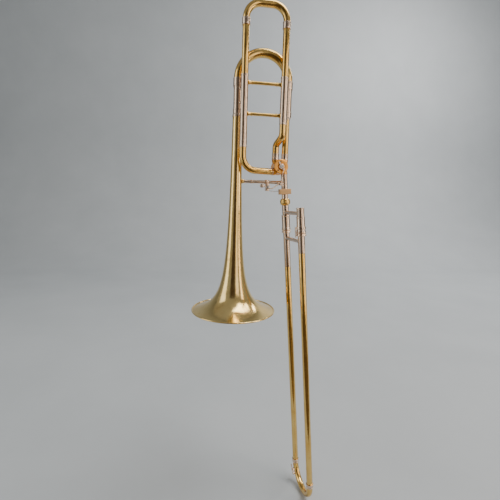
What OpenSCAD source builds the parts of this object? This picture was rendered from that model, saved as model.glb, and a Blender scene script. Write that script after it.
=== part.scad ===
// Tenor trombone with an F attachment, as an assembly of separate pieces.
// Frame: origin at the centre of the bell mouth, +Z up along the bell, +X towards the valve and hand slide,
// -Y towards the side that carries the F loop. Lengths are millimetres.

/* [Bell] */
// outer diameter of the bell mouth over its rim bead
bell_d = 216; // [180:1:260]
// height of the bell from its mouth to the tuning slide ferrule
bell_len = 482; // [400:1:580]
// thickness of the bell sheet
bell_wall = 0.6; // [0.4:0.1:1]
// diameter of the rim bead
bead_d = 3.6; // [2.4:0.2:5]
// distance from the mouth over which the flare opens
flare_a = 22; // [18:1:28]
// how steeply the flare opens
flare_e = 0.86; // [0.8:0.01:0.92]

/* [Main tuning slide] */
// distance between the axes of the bell stem and the gooseneck
main_span = 121; // [105:1:145]
// outer diameter of the tuning slide sleeves and crook
main_od = 21.6; // [19:0.2:24]
// length of each ferrule at the foot of a sleeve
foot_len = 18.5; // [14:0.5:24]
// length of each outer sleeve above its foot ferrule
main_sleeve_len = 52; // [45:1:70]
// length of the ferrules on the crook
crook_ferrule_len = 18; // [12:1:24]
// how far the inner legs reach into the sleeves
main_leg_len = 50; // [40:1:55]

/* [F attachment] */
// distance of the left F tube from the bell axis, along X
f_x = 12; // [8:1:16]
// distance between the two F tubes
f_span = 94.6; // [86:0.2:102]
// how far the F loop stands in front of the bell
f_off = 26; // [24:0.5:32]
// outer diameter of the F brass tubing
f_od = 16.2; // [15.2:0.1:17]
// height of the top of the F sleeves above the end of the bell
f_rise = 90; // [58:1:158]
// length of the left F sleeve
f_left_len = 150; // [120:1:155]
// length of the right F sleeve
f_right_len = 94; // [84:1:98]
// length of the brass legs above the F sleeves
f_leg_len = 104.5; // [80:0.5:130]
// bend radius at the two corners of the F crook
f_corner_r = 34; // [26:1:42]
// bend radius below the left F tube
f_bend_r = 34; // [26:1:42]
// diameter of the two cross braces between the F sleeves
f_brace_d = 10; // [6:0.5:12]

/* [Valve] */
// how far the valve axis lies below the end of the bell
valve_drop = 113; // [97:1:132]
// distance between the valve axis and each of its tubes
port_off = 12; // [11:0.25:13]
// radius of the rotor
rotor_r = 16; // [15:0.25:18]
// radius of the passages through the rotor
passage_r = 6.2; // [5:0.1:6.4]
// thickness of the casing wall
casing_wall = 1.6; // [1.2:0.1:2.5]
// half the length of the casing
casing_half = 15; // [13:0.5:18]
// radial clearance of the rotor and its shaft
rotor_gap = 0.05; // [0.02:0.01:0.09]

/* [Hand slide] */
// angle that the hand slide splays away from the bell
splay = 5; // [3:0.25:7]
// turn of the slide plane about its axis, measured from the bell plane
slide_turn = 82.5; // [70:0.5:100]
// distance between the axes of the two slide tubes
slide_span = 93.4; // [84:0.2:104]
// outer diameter of the outer slide tubes and bow
outer_od = 15.8; // [15.4:0.1:17]
// bore of the outer slide tubes
outer_id = 15; // [14.6:0.1:15.2]
// outer diameter of the inner slide tubes
inner_od = 14.4; // [13.6:0.1:14.5]
// bore of the inner slide tubes
inner_id = 13.8; // [12.8:0.1:14]
// length of the outer slide tubes
outer_len = 668; // [550:1:700]
// length of the thicker stockings on the inner tubes
stocking_len = 85; // [60:1:110]
// radial clearance of the stockings in the outer tubes
stocking_gap = 0.06; // [0.03:0.01:0.09]
// diameter of the slide cross braces
slide_brace_d = 10.4; // [8:0.2:12]
// outer diameter of the slide lock nut
nut_d = 25.6; // [23:0.2:30]

/* [Water key] */
// position of the water key round the bow, from the bell side tube
key_angle = 30; // [20:1:45]

/* [Trigger] */
// distance of the trigger pivot from the bell axis
pivot_x = 77.5; // [70:0.5:82]
// length of the link rod between its two pivots
link_len = 36; // [34:0.5:40]

/* [Hidden] */
$fn = 72;
eps = 1;                               // how far a cut runs past the face it cuts
tube_wall = 0.5;                       // wall of the brass and nickel tubes
slide_gap = 0.06;                      // radial clearance of a tuning slide leg in its sleeve
seat_gap = 0.2;                        // gap under a slide that rests on its stop
ferrule_wall = 1.1;                    // wall of every ferrule
ring_h = 3.5;                          // height of the ring at a sleeve's mouth
lap = 0.5;                             // length of the lap between a bend and a straight tube
lap_skin = 0.03;                       // how far the lap lies under each surface
function lap_angle(bend) = lap / bend * 180 / PI;

bead_r = bead_d / 2;
flare_steps = 56;
bell_core = 5;                         // radius the bell would shrink to if its flare went on for ever
function bell_r(z) = bell_core
    + (bell_d / 2 - bead_r - bell_core) * pow((z - bead_r + flare_a) / flare_a, -flare_e);
function bell_slope(z) = -flare_e * (bell_r(z) - bell_core) / (z - bead_r + flare_a);
function bell_z(i) = bead_r + flare_a * (pow((bell_len - bead_r + flare_a) / flare_a, i / flare_steps) - 1);
function bell_in(z) = let (m = bell_slope(z), n = sqrt(1 + m * m))
    [bell_r(z) - bell_wall / n, z + bell_wall * m / n];
stem_r = bell_r(bell_len);
stem_in_r = stem_r - bell_wall;
stem_lap = 6;                          // how far the stem and gooseneck enter their ferrules
stem_top = bell_len + stem_lap;

main_r = main_od / 2;
main_in_r = main_r - tube_wall;
main_leg_r = main_in_r - slide_gap;
main_bore_r = main_leg_r - tube_wall;
main_foot_top = bell_len + foot_len;
main_sleeve_top = main_foot_top + main_sleeve_len;
main_crook_z = main_sleeve_top + seat_gap;
main_bend_z = main_crook_z + crook_ferrule_len + eps;

f_r = f_od / 2;
f_bore_r = f_r - tube_wall;
f_sleeve_r = f_r + 0.6;
f_sleeve_in_r = f_r - 0.05;
f_leg_r = f_sleeve_in_r - slide_gap;
f_inner_len = 90;                      // length of the inner legs of the F slide
f_sides = [f_x, f_x + f_span];
f_lens = [f_left_len, f_right_len];
f_foot_len = 13;                       // length of the ferrules below the F sleeves
f_foot_lap = 5;                        // how far the bends enter those ferrules
f_sleeve_top = bell_len + f_rise;
f_left_foot = f_sleeve_top - f_left_len;
f_right_foot = f_sleeve_top - f_right_len;
f_leg_z = f_sleeve_top + seat_gap;
f_leg_top = f_leg_z + f_leg_len;
f_crook_ferrule = 15;                  // length of the ferrules under the F crook
f_bend_z = f_leg_top + f_crook_ferrule + eps;
f_braces = [0.177, 0.918];             // brace heights down the right sleeve, as a fraction of its length

valve_x = main_span - port_off;
valve_z = bell_len - valve_drop;
casing_in_r = rotor_r + rotor_gap;
casing_r = casing_in_r + casing_wall;
knuckle_r = f_r + 0.5;
port_end = port_off * sqrt(2);         // distance from the valve axis to the end of each knuckle
knuckles = [[0, port_end, -45], [0, port_end, 180], [0, -port_end, 0], [-port_end, 0, 270]];
valve_top = valve_z + port_end;
port_ferrule = 15;                     // length of the ferrules on top of the valve
port_lap = 3;                          // how far the knuckles reach into those ferrules
run_z = valve_z - port_off;
run_lap = 3.5;                         // half the length of the ferrule on the F run
plate_t = 3;                           // thickness of the valve's end plates
hub_t = 2;                             // extra thickness round the shaft
shaft_r = 4;
shaft_out = casing_half + plate_t + hub_t + 0.4;
arm_t = 3;
arm_r = 8.5;                           // distance from the rotor axis to the link pivot
arm_rest = 300;                        // direction of the stop arm at rest, seen from the front
arm_turn = 90;                         // how far the valve turns
stop_side = arm_rest + arm_turn / 2 + 180;
tail_r = 13;                           // length of the arm's tail, which strikes the corks
post_r = 1.5;                          // radius of the post that carries the link rod
post_len = 4.6;
link_y = shaft_out + arm_t + post_len / 2;
link_gap = 0.05;                       // radial clearance of the link rod on its post
eye_r = 3;                             // eye at the top of the link rod
eye_h = 2.2;
rod_r = 1.25;
pin_out = 0.4;                         // how far the cross pin shows behind the fork
bumper_r = 2;
bumper_at = 66;                        // direction of each cork from the middle of the stop side
hole_r = 8.6;                          // hole in the bumper plate, round the hub

elbow_r = 30;                          // bend radius where the F run meets the valve
elbow_len = 8;
run_end_x = valve_x - port_end - elbow_len;
run_turn = atan2(f_off, run_end_x - f_x);
run_len = norm([run_end_x - f_x, f_off]);
elbow_tan = elbow_r * tan(run_turn / 2);

s_top = f_right_foot - f_foot_len + f_foot_lap;
s_bend_r = 14;                         // radius of the two bends of the S-bend
s_turn = 58;                           // how far its middle leans over
s_from = f_right_foot - f_foot_len - 18;
s_dx = valve_x - port_off - f_sides[1];
s_off = norm([s_dx, f_off]);
s_side = s_bend_r * (1 - cos(s_turn));
s_drop = s_bend_r * sin(s_turn);
s_mid = (s_off - 2 * s_side) / sin(s_turn);
s_end = s_from - 2 * s_drop - s_mid * cos(s_turn);
post_d = 6;                            // posts between the main and F sleeves

// Slide frame: origin where the receiver leaves the valve, -z down the slide,
// x from the bell tube to the mouth tube.
neck = [main_span, 0, valve_z - port_end];
block_t = [36.5, 50];                  // receiver block, distances down the slide axis
block_w = 29.5;
block_d = 19.2;
saddle_w = 8;                          // width of the trigger's saddle under the bell brace
nut_t = [61, 77];
collar_r = 10;                         // threaded collar inside the nut
collar_len = 6;
nut_floor = 3.2;                       // thickness of the floor of the nut
shoulder_len = 4;
barrel_t = [103, 138.5];               // cork barrels
flange_t = 138.8;                      // top of the outer slide
flange_h = 8.6;
outer_top = flange_t + flange_h;
outer_end = flange_t + outer_len;
inner_end = outer_end - 6;
inner_brace_t = 96;
outer_brace_t = 162;
bell_grip = 90;                        // grip sleeve lengths
mouth_grip = 41;
grip_wall = 0.4;
barrel_r = 10.5;
mouth_barrel_r = 10.1;
tenon_r = 8.5;                         // sleeve of the tenon below the lock nut
barrel_in_r = inner_od / 2 + 1.4;
cork_h = 14;
mouth_top = 82.5;                      // top of the mouthpiece receiver
mouth_r = 9;
lip_r = 6.5;                           // bore at the mouth of the receiver, then a 1 in 20 taper
lip_h = 4;
taper_h = 22;
shank_taper = 1 / 20;
throat_r = lip_r - taper_h * shank_taper / 2;
lead_len = 150;
bow_ferrule = 11;
bow_lap = 5;
bow_z = outer_end + bow_lap + 1;
bow_r = slide_span / 2;
flange_r = 12.2;
lock_gap = 0.05;                       // radial clearance of the lock ring on its barrel
lock_h = 6;
lock_t = 126;

brace_z = valve_z - 38;                // bell brace
brace_r = 4.4;
brace_x = neck[0] + (neck[2] - brace_z) * tan(splay);
pivot_z = brace_z - 13;
pivot_pin_r = 2;
pivot_gap = 0.05;
link_x = valve_x + arm_r * cos(arm_rest);
link_z = valve_z + arm_r * sin(arm_rest);
link_tilt = 9;                         // how far the link rod leans, the same all through its travel
pin_r = 1;                             // cross pin at the foot of the link rod
slot_gap = 0.7;                        // clearance of that pin in the trigger's fork
fork_half = pin_r + slot_gap;
fork_wall = 1.3;
slot_rise = 12;                        // distance of the fork's middle line from the trigger pivot
// Cross pin seen from the trigger pivot, and the direction of the fork, with the valve turned so far.
function pin_at(turn) = [valve_x + arm_r * cos(arm_rest + turn) - link_len * sin(link_tilt) - pivot_x,
    valve_z + arm_r * sin(arm_rest + turn) - link_len * cos(link_tilt) - pivot_z];
function fork_dir(turn) = let (p = pin_at(turn)) atan2(p[1], p[0]) - asin(slot_rise / norm(p));
slot_from = sqrt(pow(norm(pin_at(0)), 2) - pow(slot_rise, 2));
trigger_swing = fork_dir(arm_turn) - fork_dir(0);
lever_y = 19;                          // distance of the trigger's middle plane in front of the bell plane
lever_half = 2;
strap_h = 2.8;                         // height of the lever's strap
strap_drop = 3.4;                      // how far the strap runs below the pivot
strap_len = 10.8;
paddle_at = [-15.1, 2.7];              // thumb knob seen from the pivot

brass = [0.86, 0.66, 0.28];
nickel = [0.72, 0.71, 0.68];
gold = [0.84, 0.56, 0.24];
cork = [0.72, 0.52, 0.34];
steel = [0.62, 0.62, 0.63];
cream = [0.93, 0.78, 0.5];

// A ring or tube of height h standing on z = 0.
module ring(ro, ri, h) difference() {
    cylinder(r = ro, h = h);
    translate([0, 0, -eps]) cylinder(r = ri, h = h + 2 * eps);
}

// A tube bent through an angle about the z axis.
module arc_tube(bend, ro, ri, angle) rotate_extrude(angle = angle) translate([bend, 0]) difference() {
    circle(r = ro);
    circle(r = ri);
}

// The same, bent in the XZ plane from a start angle seen from the front.
module arc_xz(bend, ro, ri, start, angle) rotate([90, 0, 0]) rotate([0, 0, start])
    arc_tube(bend, ro, ri, angle);

// An F tube bend that runs a little way inside the wall of the straight tubes at its two ends.
module f_arc(bend, angle) rotate([0, 0, -lap_angle(bend)])
    arc_tube(bend, f_r - lap_skin, f_bore_r + lap_skin, angle + 2 * lap_angle(bend));
module f_arc_xz(bend, start, angle) rotate([90, 0, 0]) rotate([0, 0, start]) f_arc(bend, angle);

module along_x() rotate([0, 90, 0]) children();
module valve_frame() translate([valve_x, 0, valve_z]) rotate([90, 0, 0]) children();
module slide_frame() translate(neck) rotate([0, -splay, 0]) rotate([0, 0, -slide_turn]) children();
module down(t) translate([0, 0, -t]) children();
module f_leg(i) translate([f_sides[i], -f_off, 0]) children();

/* Bell section */

module bell_sheet() polygon(concat([for (i = [0:flare_steps]) [bell_r(bell_z(i)), bell_z(i)]],
    [[stem_r, stem_top], [stem_in_r, stem_top]], [for (i = [flare_steps:-1:0]) bell_in(bell_z(i))]));
module bell() color(brass) rotate_extrude() difference() {
    bell_sheet();
    translate([bell_d / 2 - bead_r, bead_r]) circle(r = bead_r);
}
module rim_bead() color(brass) rotate_extrude() translate([bell_d / 2 - bead_r, bead_r]) circle(r = bead_r);

// A ferrule that joins a lower tube of radius low to a sleeve.
module foot_ferrule(low) rotate_extrude() polygon([[low, bell_len], [low + ferrule_wall, bell_len],
    [max(low, main_r) + ferrule_wall, stem_top - eps], [main_r + ferrule_wall, main_foot_top - ring_h],
    [main_r + ferrule_wall, main_foot_top], [main_r, main_foot_top], [main_r, stem_top], [low, stem_top]]);
module bell_ferrule() color(nickel) foot_ferrule(stem_r);
module gooseneck_ferrule() color(nickel) translate([main_span, 0, 0]) foot_ferrule(f_r);
module main_sleeves() color(nickel) for (x = [0, main_span]) translate([x, 0, stem_top]) {
    ring(main_r, main_in_r, main_sleeve_top - stem_top);
    translate([0, 0, main_sleeve_top - stem_top - ring_h]) ring(main_r + 0.7, main_in_r, ring_h);
}
module gooseneck() color(brass) translate([main_span, 0, valve_top + port_lap])
    ring(f_r, f_bore_r, stem_top - valve_top - port_lap);
module valve_ferrules() color(nickel) difference() {
    valve_ferrule_set();
    valve_frame() translate([0, 0, -casing_half]) cylinder(r = casing_r, h = 2 * casing_half);
}
module valve_ferrule_set() {
    for (x = [main_span, valve_x - port_off]) translate([x, 0, valve_top]) difference() {
        cylinder(r = f_r + ferrule_wall, h = port_ferrule);
        translate([0, 0, -eps]) cylinder(r = f_bore_r, h = port_lap + eps);
        translate([0, 0, port_lap]) cylinder(r = f_r, h = port_ferrule);
    }
    translate([run_end_x + elbow_tan, 0, run_z]) along_x()
        ring(f_r + ferrule_wall, f_r, elbow_len - elbow_tan);
}

/* F attachment, fixed part */

module f_sleeves() color(nickel) for (i = [0, 1]) f_leg(i) translate([0, 0, f_sleeve_top - f_lens[i]]) {
    ring(f_sleeve_r, f_sleeve_in_r, f_lens[i]);
    translate([0, 0, f_lens[i] - ring_h]) ring(f_sleeve_r + 0.7, f_sleeve_in_r, ring_h);
}
module f_brace(at) difference() {
    translate([f_x, -f_off, f_sleeve_top - at * f_right_len]) along_x() {
        cylinder(r = f_brace_d / 2, h = f_span);
        for (x = [f_sleeve_r - eps, f_span - f_sleeve_r - eps]) translate([0, 0, x])
            cylinder(r = f_brace_d / 2 + 1, h = 2 * eps);
    }
    for (i = [0, 1]) f_leg(i) translate([0, 0, f_right_foot - f_brace_d])
        cylinder(r = f_sleeve_r, h = f_right_len + 2 * f_brace_d);
}
module f_brace_upper() color(brass) f_brace(f_braces[0]);
module f_brace_lower() color(brass) f_brace(f_braces[1]);
module f_ferrules() color(nickel) for (i = [0, 1]) f_leg(i)
    translate([0, 0, f_sleeve_top - f_lens[i] - f_foot_len]) difference() {
        cylinder(r = f_sleeve_r + 0.6, h = f_foot_len);
        translate([0, 0, -eps]) cylinder(r = f_r, h = f_foot_lap + eps);
        translate([0, 0, f_foot_lap - eps]) cylinder(r = f_bore_r, h = f_foot_len);
    }
module f_down_bend() color(brass) {
    f_leg(0) {
        translate([0, 0, run_z + f_bend_r])
            ring(f_r, f_bore_r, f_left_foot - f_foot_len + f_foot_lap - run_z - f_bend_r);
        rotate([0, 0, run_turn]) {
            translate([f_bend_r, 0, run_z + f_bend_r]) f_arc_xz(f_bend_r, 180, 90);
            translate([f_bend_r, 0, run_z]) along_x() ring(f_r, f_bore_r, run_len - elbow_tan - f_bend_r);
            translate([run_len - elbow_tan, -elbow_r, run_z]) rotate([0, 0, 90 - run_turn])
                f_arc(elbow_r, run_turn);
        }
    }
    translate([run_end_x + elbow_tan, 0, run_z]) along_x() ring(f_r, f_bore_r, elbow_len - elbow_tan);
}
module f_s_bend() color(brass) {
    translate([valve_x - port_off, 0, valve_top + port_lap])
        ring(f_r, f_bore_r, s_end - valve_top - port_lap);
    f_leg(1) {
        translate([0, 0, s_from]) ring(f_r, f_bore_r, s_top - s_from);
        rotate([0, 0, atan2(f_off, s_dx)]) {
            translate([s_bend_r, 0, s_from]) f_arc_xz(s_bend_r, 180, s_turn);
            translate([s_off - s_bend_r, 0, s_end]) f_arc_xz(s_bend_r, 0, s_turn);
            translate([s_side, 0, s_from - s_drop]) rotate([0, 180 - s_turn, 0]) ring(f_r, f_bore_r, s_mid);
        }
    }
}
module wrap_posts() color(nickel) for (i = [0, 1]) difference() {
    for (z = [main_foot_top + 0.25 * main_sleeve_len, main_sleeve_top - 2 * ring_h])
        translate([i * main_span, 0, z]) rotate([0, 0, atan2(-f_off, f_sides[i] - i * main_span)])
            along_x() cylinder(r = post_d / 2, h = norm([f_off, f_sides[i] - i * main_span]));
    translate([i * main_span, 0, bell_len]) cylinder(r = main_r, h = foot_len + 2 * main_sleeve_len);
    f_leg(i) translate([0, 0, bell_len]) cylinder(r = f_sleeve_r, h = foot_len + 2 * main_sleeve_len);
}

/* Valve */

module knuckle_set(r) for (k = knuckles) translate([k[0], k[1], 0]) rotate([0, 0, k[2]])
    rotate_extrude(angle = 45) translate([port_off, 0]) circle(r = r);
module valve_casing() color(gold) valve_frame() difference() {
    union() {
        translate([0, 0, -casing_half]) cylinder(r = casing_r, h = 2 * casing_half);
        knuckle_set(knuckle_r);
    }
    translate([0, 0, -casing_half - eps]) cylinder(r = casing_in_r, h = 2 * (casing_half + eps));
    knuckle_set(f_bore_r);
}
module valve_front_plate() color(gold) valve_frame() translate([0, 0, casing_half]) difference() {
    union() {
        cylinder(r = casing_r, h = plate_t);
        cylinder(r = shaft_r + 3, h = plate_t + hub_t);
    }
    translate([0, 0, -eps]) cylinder(r = shaft_r + rotor_gap, h = plate_t + hub_t + 2 * eps);
}
module valve_back_cap() color(gold) valve_frame() difference() {
    translate([0, 0, -casing_half - plate_t - hub_t]) cylinder(r = casing_r + 0.8, h = plate_t + hub_t);
    translate([0, 0, -casing_half - plate_t]) cylinder(r = shaft_r + rotor_gap, h = plate_t + eps);
}
module rotor() color(brass) valve_frame() difference() {
    union() {
        translate([0, 0, seat_gap - casing_half]) cylinder(r = rotor_r, h = 2 * (casing_half - seat_gap));
        translate([0, 0, seat_gap - casing_half - plate_t])
            cylinder(r = shaft_r, h = shaft_out + arm_t + casing_half + plate_t - seat_gap);
    }
    for (a = [0, 180]) rotate([0, 0, a]) translate([rotor_r * sqrt(2), 0, 0])
        rotate_extrude() translate([rotor_r, 0]) circle(r = passage_r);
}
module stop_arm() color(nickel) valve_frame() rotate([0, 0, arm_rest])
        translate([0, 0, shaft_out]) difference() {
    union() {
        cylinder(r = shaft_r + 2.5, h = arm_t);
        translate([0, -2.2, 0]) cube([arm_r, 4.4, arm_t]);
        translate([arm_r, 0, 0]) cylinder(r = 3, h = arm_t);
        translate([arm_r, 0, arm_t - eps]) cylinder(r = post_r, h = post_len + eps);
        translate([arm_r, 0, arm_t + post_len - eps]) cylinder(r = post_r + 1, h = eps);
        translate([-tail_r, -2, 0]) cube([tail_r, 4, arm_t]);
    }
    translate([0, 0, -eps]) cylinder(r = shaft_r, h = arm_t + 2 * eps);
}
module stop_screw() color(steel) valve_frame() translate([0, 0, shaft_out + arm_t]) difference() {
    cylinder(r = shaft_r + 0.4, h = 1.8);
    translate([-shaft_r - eps, -0.5, 1]) cube([2 * (shaft_r + eps), 1, 1 + eps]);
}
module bumper_plate() color(gold) valve_frame() rotate([0, 0, stop_side])
    translate([0, 0, casing_half + plate_t]) difference() {
        cylinder(r = casing_r - 1, h = hub_t);
        translate([0, 0, -eps]) cylinder(r = hole_r, h = hub_t + 2 * eps);
        translate([-2 * casing_r + 1, -casing_r, -eps]) cube([2 * casing_r, 2 * casing_r, hub_t + 2 * eps]);
    }
module bumper_corks() color(cork) valve_frame() for (s = [-1, 1]) rotate([0, 0, stop_side + s * bumper_at])
    translate([tail_r - 1, 0, casing_half + plate_t + hub_t]) cylinder(r = bumper_r, h = arm_t + 0.4);
// Drawn in the plane of its swing, seen from the front, with the eye at the origin.
module link_rod() color(nickel) translate([link_x, -link_y, link_z]) rotate([90, link_tilt, 0]) {
    translate([0, 0, -eye_h / 2]) difference() {
        cylinder(r = eye_r, h = eye_h);
        translate([0, 0, -eps]) cylinder(r = post_r + link_gap, h = eye_h + 2 * eps);
    }
    difference() {
        translate([0, -link_len, 0]) rotate([-90, 0, 0]) cylinder(r = rod_r, h = link_len);
        translate([0, 0, -eye_h]) cylinder(r = (post_r + eye_r) / 2, h = 2 * eye_h);
    }
    translate([0, -link_len, -eye_h]) cylinder(r = 2.4, h = 2 * eye_h);
    translate([0, -link_len, lever_y - lever_half - pin_out - link_y])
        cylinder(r = pin_r, h = link_y - lever_y + lever_half + pin_out - eye_h / 2);
}

/* Trigger */

module trigger_frame(y) translate([pivot_x, -y, pivot_z]) rotate([90, 0, 0]) children();
// A flat strap in the plane of the trigger between two points seen from its pivot.
module strap(from, to) let (way = to - from) translate([from[0], from[1], -lever_half])
    rotate([0, 0, atan2(way[1], way[0])]) translate([0, -strap_h / 2, 0])
        cube([norm(way), strap_h, 2 * lever_half]);
// Puts a block along the fork: back behind the slot's end, side below its middle line, over past its faces.
module along_fork(back, side, over) rotate([0, 0, fork_dir(0)])
    translate([slot_from - back, slot_rise - side, -lever_half - over]) children();
fork_back = fork_half + 2 * fork_wall;
fork_side = fork_half + fork_wall;
fork_root = slot_rise * [-sin(fork_dir(0)), cos(fork_dir(0))]
    + (slot_from - fork_side) * [cos(fork_dir(0)), sin(fork_dir(0))];
module trigger_lever() color(nickel) trigger_frame(lever_y) difference() {
    union() {
        translate([0, 0, -6]) cylinder(r = pivot_pin_r + 2.8, h = 6 + lever_half);
        strap([0, -strap_drop], [strap_len, -strap_drop]);
        strap([strap_len - strap_h / 2, -strap_drop - strap_h / 4], fork_root);
        strap([0, 0], paddle_at);
        along_fork(fork_back, fork_side, 0) cube([fork_back + arm_r, 2 * fork_side, 2 * lever_half]);
    }
    translate([0, 0, -7]) cylinder(r = pivot_pin_r + pivot_gap, h = 10);
    along_fork(fork_half, fork_half, eps)
        cube([fork_half + arm_r + eps, 2 * fork_half, 2 * (lever_half + eps)]);
}
module trigger_paddle() color(nickel) trigger_frame(lever_y) translate(paddle_at) {
    translate([0, 0, lever_half]) cylinder(r = 4.8, h = 5);
    translate([0, 0, -lever_half - 5]) cylinder(r = 4.8, h = 5);
}
module trigger_saddle() color(brass) difference() {
    union() {
        translate([pivot_x - saddle_w / 2, -12.6, pivot_z - 9]) cube([saddle_w, 17, brace_z - pivot_z + 9]);
        translate([pivot_x - saddle_w / 2 - 1, 0, brace_z]) along_x()
            cylinder(r = brace_r + 1.2, h = saddle_w + 2);
    }
    translate([pivot_x, 5, pivot_z]) rotate([90, 0, 0]) cylinder(r = pivot_pin_r, h = 20);
    translate([pivot_x - 10, 0, brace_z]) along_x() cylinder(r = brace_r, h = 20);
    translate([pivot_x - 6, -14, brace_z - 3]) cube([12, 8, 10]);
}
module trigger_pin() color(steel) translate([pivot_x, 4, pivot_z]) rotate([90, 0, 0]) {
    cylinder(r = pivot_pin_r, h = lever_y + lever_half + 5);
    translate([0, 0, lever_y + lever_half + 4.4]) cylinder(r = pivot_pin_r + 1.2, h = 1.2);
}
block_x = neck[0] + (block_t[0] + block_t[1]) / 2 * sin(splay) - block_w / 2;
spring_seat = 0.6;                     // how far each end of the spring is let into its seat
spring_span = block_x - pivot_x - saddle_w / 2 + 2 * spring_seat;
spring_r = 44;
module trigger_spring() color(steel) translate([pivot_x + saddle_w / 2 - spring_seat + spring_span / 2, -8,
    pivot_z - 7 + sqrt(spring_r * spring_r - spring_span * spring_span / 4)])
    rotate([90, 0, 0]) rotate([0, 0, 270 - asin(spring_span / 2 / spring_r)])
        rotate_extrude(angle = 2 * asin(spring_span / 2 / spring_r)) translate([spring_r, 0]) circle(r = 0.8);

/* Bell brace and receiver */

module receiver_solid(r) slide_frame() down(nut_t[0]) cylinder(r = r, h = nut_t[0]);
module bell_solid() rotate_extrude() polygon(concat([[0, bead_r]],
    [for (i = [0:flare_steps]) [bell_r(bell_z(i)), bell_z(i)]], [[0, bell_len]]));
module bell_brace() color(nickel) difference() {
    union() {
        translate([0, 0, brace_z]) along_x() cylinder(r = brace_r, h = brace_x);
        translate([36, 0, brace_z]) along_x() cylinder(r = brace_r + 0.8, h = 4);
    }
    bell_solid();
    receiver_solid(f_r);
}
module brace_flanges() color(brass) difference() {
    for (x = [bell_r(brace_z) - 3, brace_x - f_r - 2.4]) translate([x, 0, brace_z]) along_x()
        ring(brace_r + 2.2, brace_r, 5.4);
    bell_solid();
    receiver_solid(f_r);
}
module receiver_tube() color(nickel) {
    slide_frame() difference() {
        union() {
            down(nut_t[0] + collar_len) cylinder(r = collar_r, h = collar_len);
            down(nut_t[0]) cylinder(r = f_r, h = nut_t[0]);
        }
        down(nut_t[0] + collar_len + eps) cylinder(r = f_bore_r, h = nut_t[0] + collar_len + 2 * eps);
        down(8) cylinder(r = 2 * f_r, h = 20);
    }
    difference() {
        slide_frame() down(8) ring(f_r, f_bore_r, 14);
        translate([neck[0] - 20, -20, neck[2]]) cube([40, 40, 20]);
    }
}
module receiver_block() color(cream) slide_frame() rotate([0, 0, slide_turn]) down(block_t[1]) difference() {
    translate([-block_w / 2, -block_d / 2, 0]) cube([block_w, block_d, block_t[1] - block_t[0]]);
    translate([0, 0, -eps]) cylinder(r = f_r, h = block_t[1] - block_t[0] + 2 * eps);
}
module lock_nut() color(brass) slide_frame() down(nut_t[1])
    rotate_extrude() let (h = nut_t[1] - nut_t[0], r = nut_d / 2)
        polygon([[inner_od / 2 + 0.4, 0], [r - 3.2, 0], [r - 1.3, 1.5], [r - 0.4, 3.8],
                 [r, 6.4], [r, h - 6.4],
            [r - 0.4, h - 3.8], [r - 1.3, h - 1.5], [r - 3.2, h], [collar_r + lock_gap, h],
            [collar_r + lock_gap, nut_floor], [inner_od / 2 + 0.4, nut_floor]]);

/* Main tuning slide */

module main_crook() color(brass) {
    for (x = [0, main_span]) translate([x, 0, main_crook_z])
        ring(main_r, main_bore_r, main_bend_z - main_crook_z);
    translate([main_span / 2, 0, main_bend_z]) arc_xz(main_span / 2, main_r, main_bore_r, 0, 180);
}
module main_crook_ferrules() color(nickel) for (x = [0, main_span]) translate([x, 0, main_crook_z]) {
    ring(main_r + ferrule_wall, main_r, crook_ferrule_len);
    translate([0, 0, crook_ferrule_len - ring_h]) ring(main_r + ferrule_wall + 0.6, main_r, ring_h);
}
module main_inner_legs() color(nickel) for (x = [0, main_span])
    translate([x, 0, main_crook_z - main_leg_len]) ring(main_leg_r, main_bore_r, main_leg_len);

/* F tuning slide */

module f_crook() color(brass) translate([0, -f_off, 0]) {
    for (x = f_sides) translate([x, 0, f_leg_top + f_crook_ferrule / 2])
        ring(f_r, f_bore_r, f_bend_z - f_leg_top - f_crook_ferrule / 2);
    translate([f_sides[0] + f_corner_r, 0, f_bend_z]) arc_xz(f_corner_r, f_r, f_bore_r, 90, 90);
    translate([f_sides[1] - f_corner_r, 0, f_bend_z]) arc_xz(f_corner_r, f_r, f_bore_r, 0, 90);
    translate([f_sides[0] + f_corner_r, 0, f_bend_z + f_corner_r]) along_x()
        ring(f_r, f_bore_r, f_span - 2 * f_corner_r);
}
module f_crook_ferrules() color(nickel) for (i = [0, 1]) f_leg(i) translate([0, 0, f_leg_top]) {
    ring(f_r + ferrule_wall, f_r, f_crook_ferrule);
    translate([0, 0, f_crook_ferrule - ring_h]) ring(f_r + ferrule_wall + 0.5, f_r, ring_h);
}
module f_legs() color(brass) for (i = [0, 1]) f_leg(i) translate([0, 0, f_leg_z])
    ring(f_r, f_bore_r, f_leg_len + f_crook_ferrule / 2 - seat_gap);
module f_inner_legs() color(nickel) for (i = [0, 1]) f_leg(i) translate([0, 0, f_leg_z - f_inner_len])
    ring(f_leg_r, f_bore_r - 0.3, f_inner_len);

/* Inner slide */

module slide_sides() for (x = [0, slide_span]) translate([x, 0, 0]) children();
module tenon() color(nickel) slide_frame() difference() {
    union() {
        down(nut_t[0]) cylinder(r = f_bore_r - lock_gap, h = 34);
        down(nut_t[0] + collar_len + 0.4) cylinder(r = f_bore_r - lock_gap, h = collar_len + 0.4);
        down(nut_t[0] + collar_len + 0.4 + shoulder_len) cylinder(r = collar_r - 0.6, h = shoulder_len);
        down(barrel_t[0]) cylinder(r = inner_od / 2, h = barrel_t[0] - nut_t[0] - collar_len - 0.4);
        down(barrel_t[0]) cylinder(r = tenon_r, h = barrel_t[0] - nut_t[1] - 0.4);
    }
    down(barrel_t[0] + eps) cylinder(r = inner_id / 2, h = barrel_t[0]);
}
module inner_tubes() color(nickel) slide_frame() slide_sides()
    down(inner_end) ring(inner_od / 2, inner_id / 2, inner_end - barrel_t[0]);
module stockings() color(nickel) slide_frame() slide_sides()
    down(inner_end) ring(outer_id / 2 - stocking_gap, inner_od / 2, stocking_len);
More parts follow.
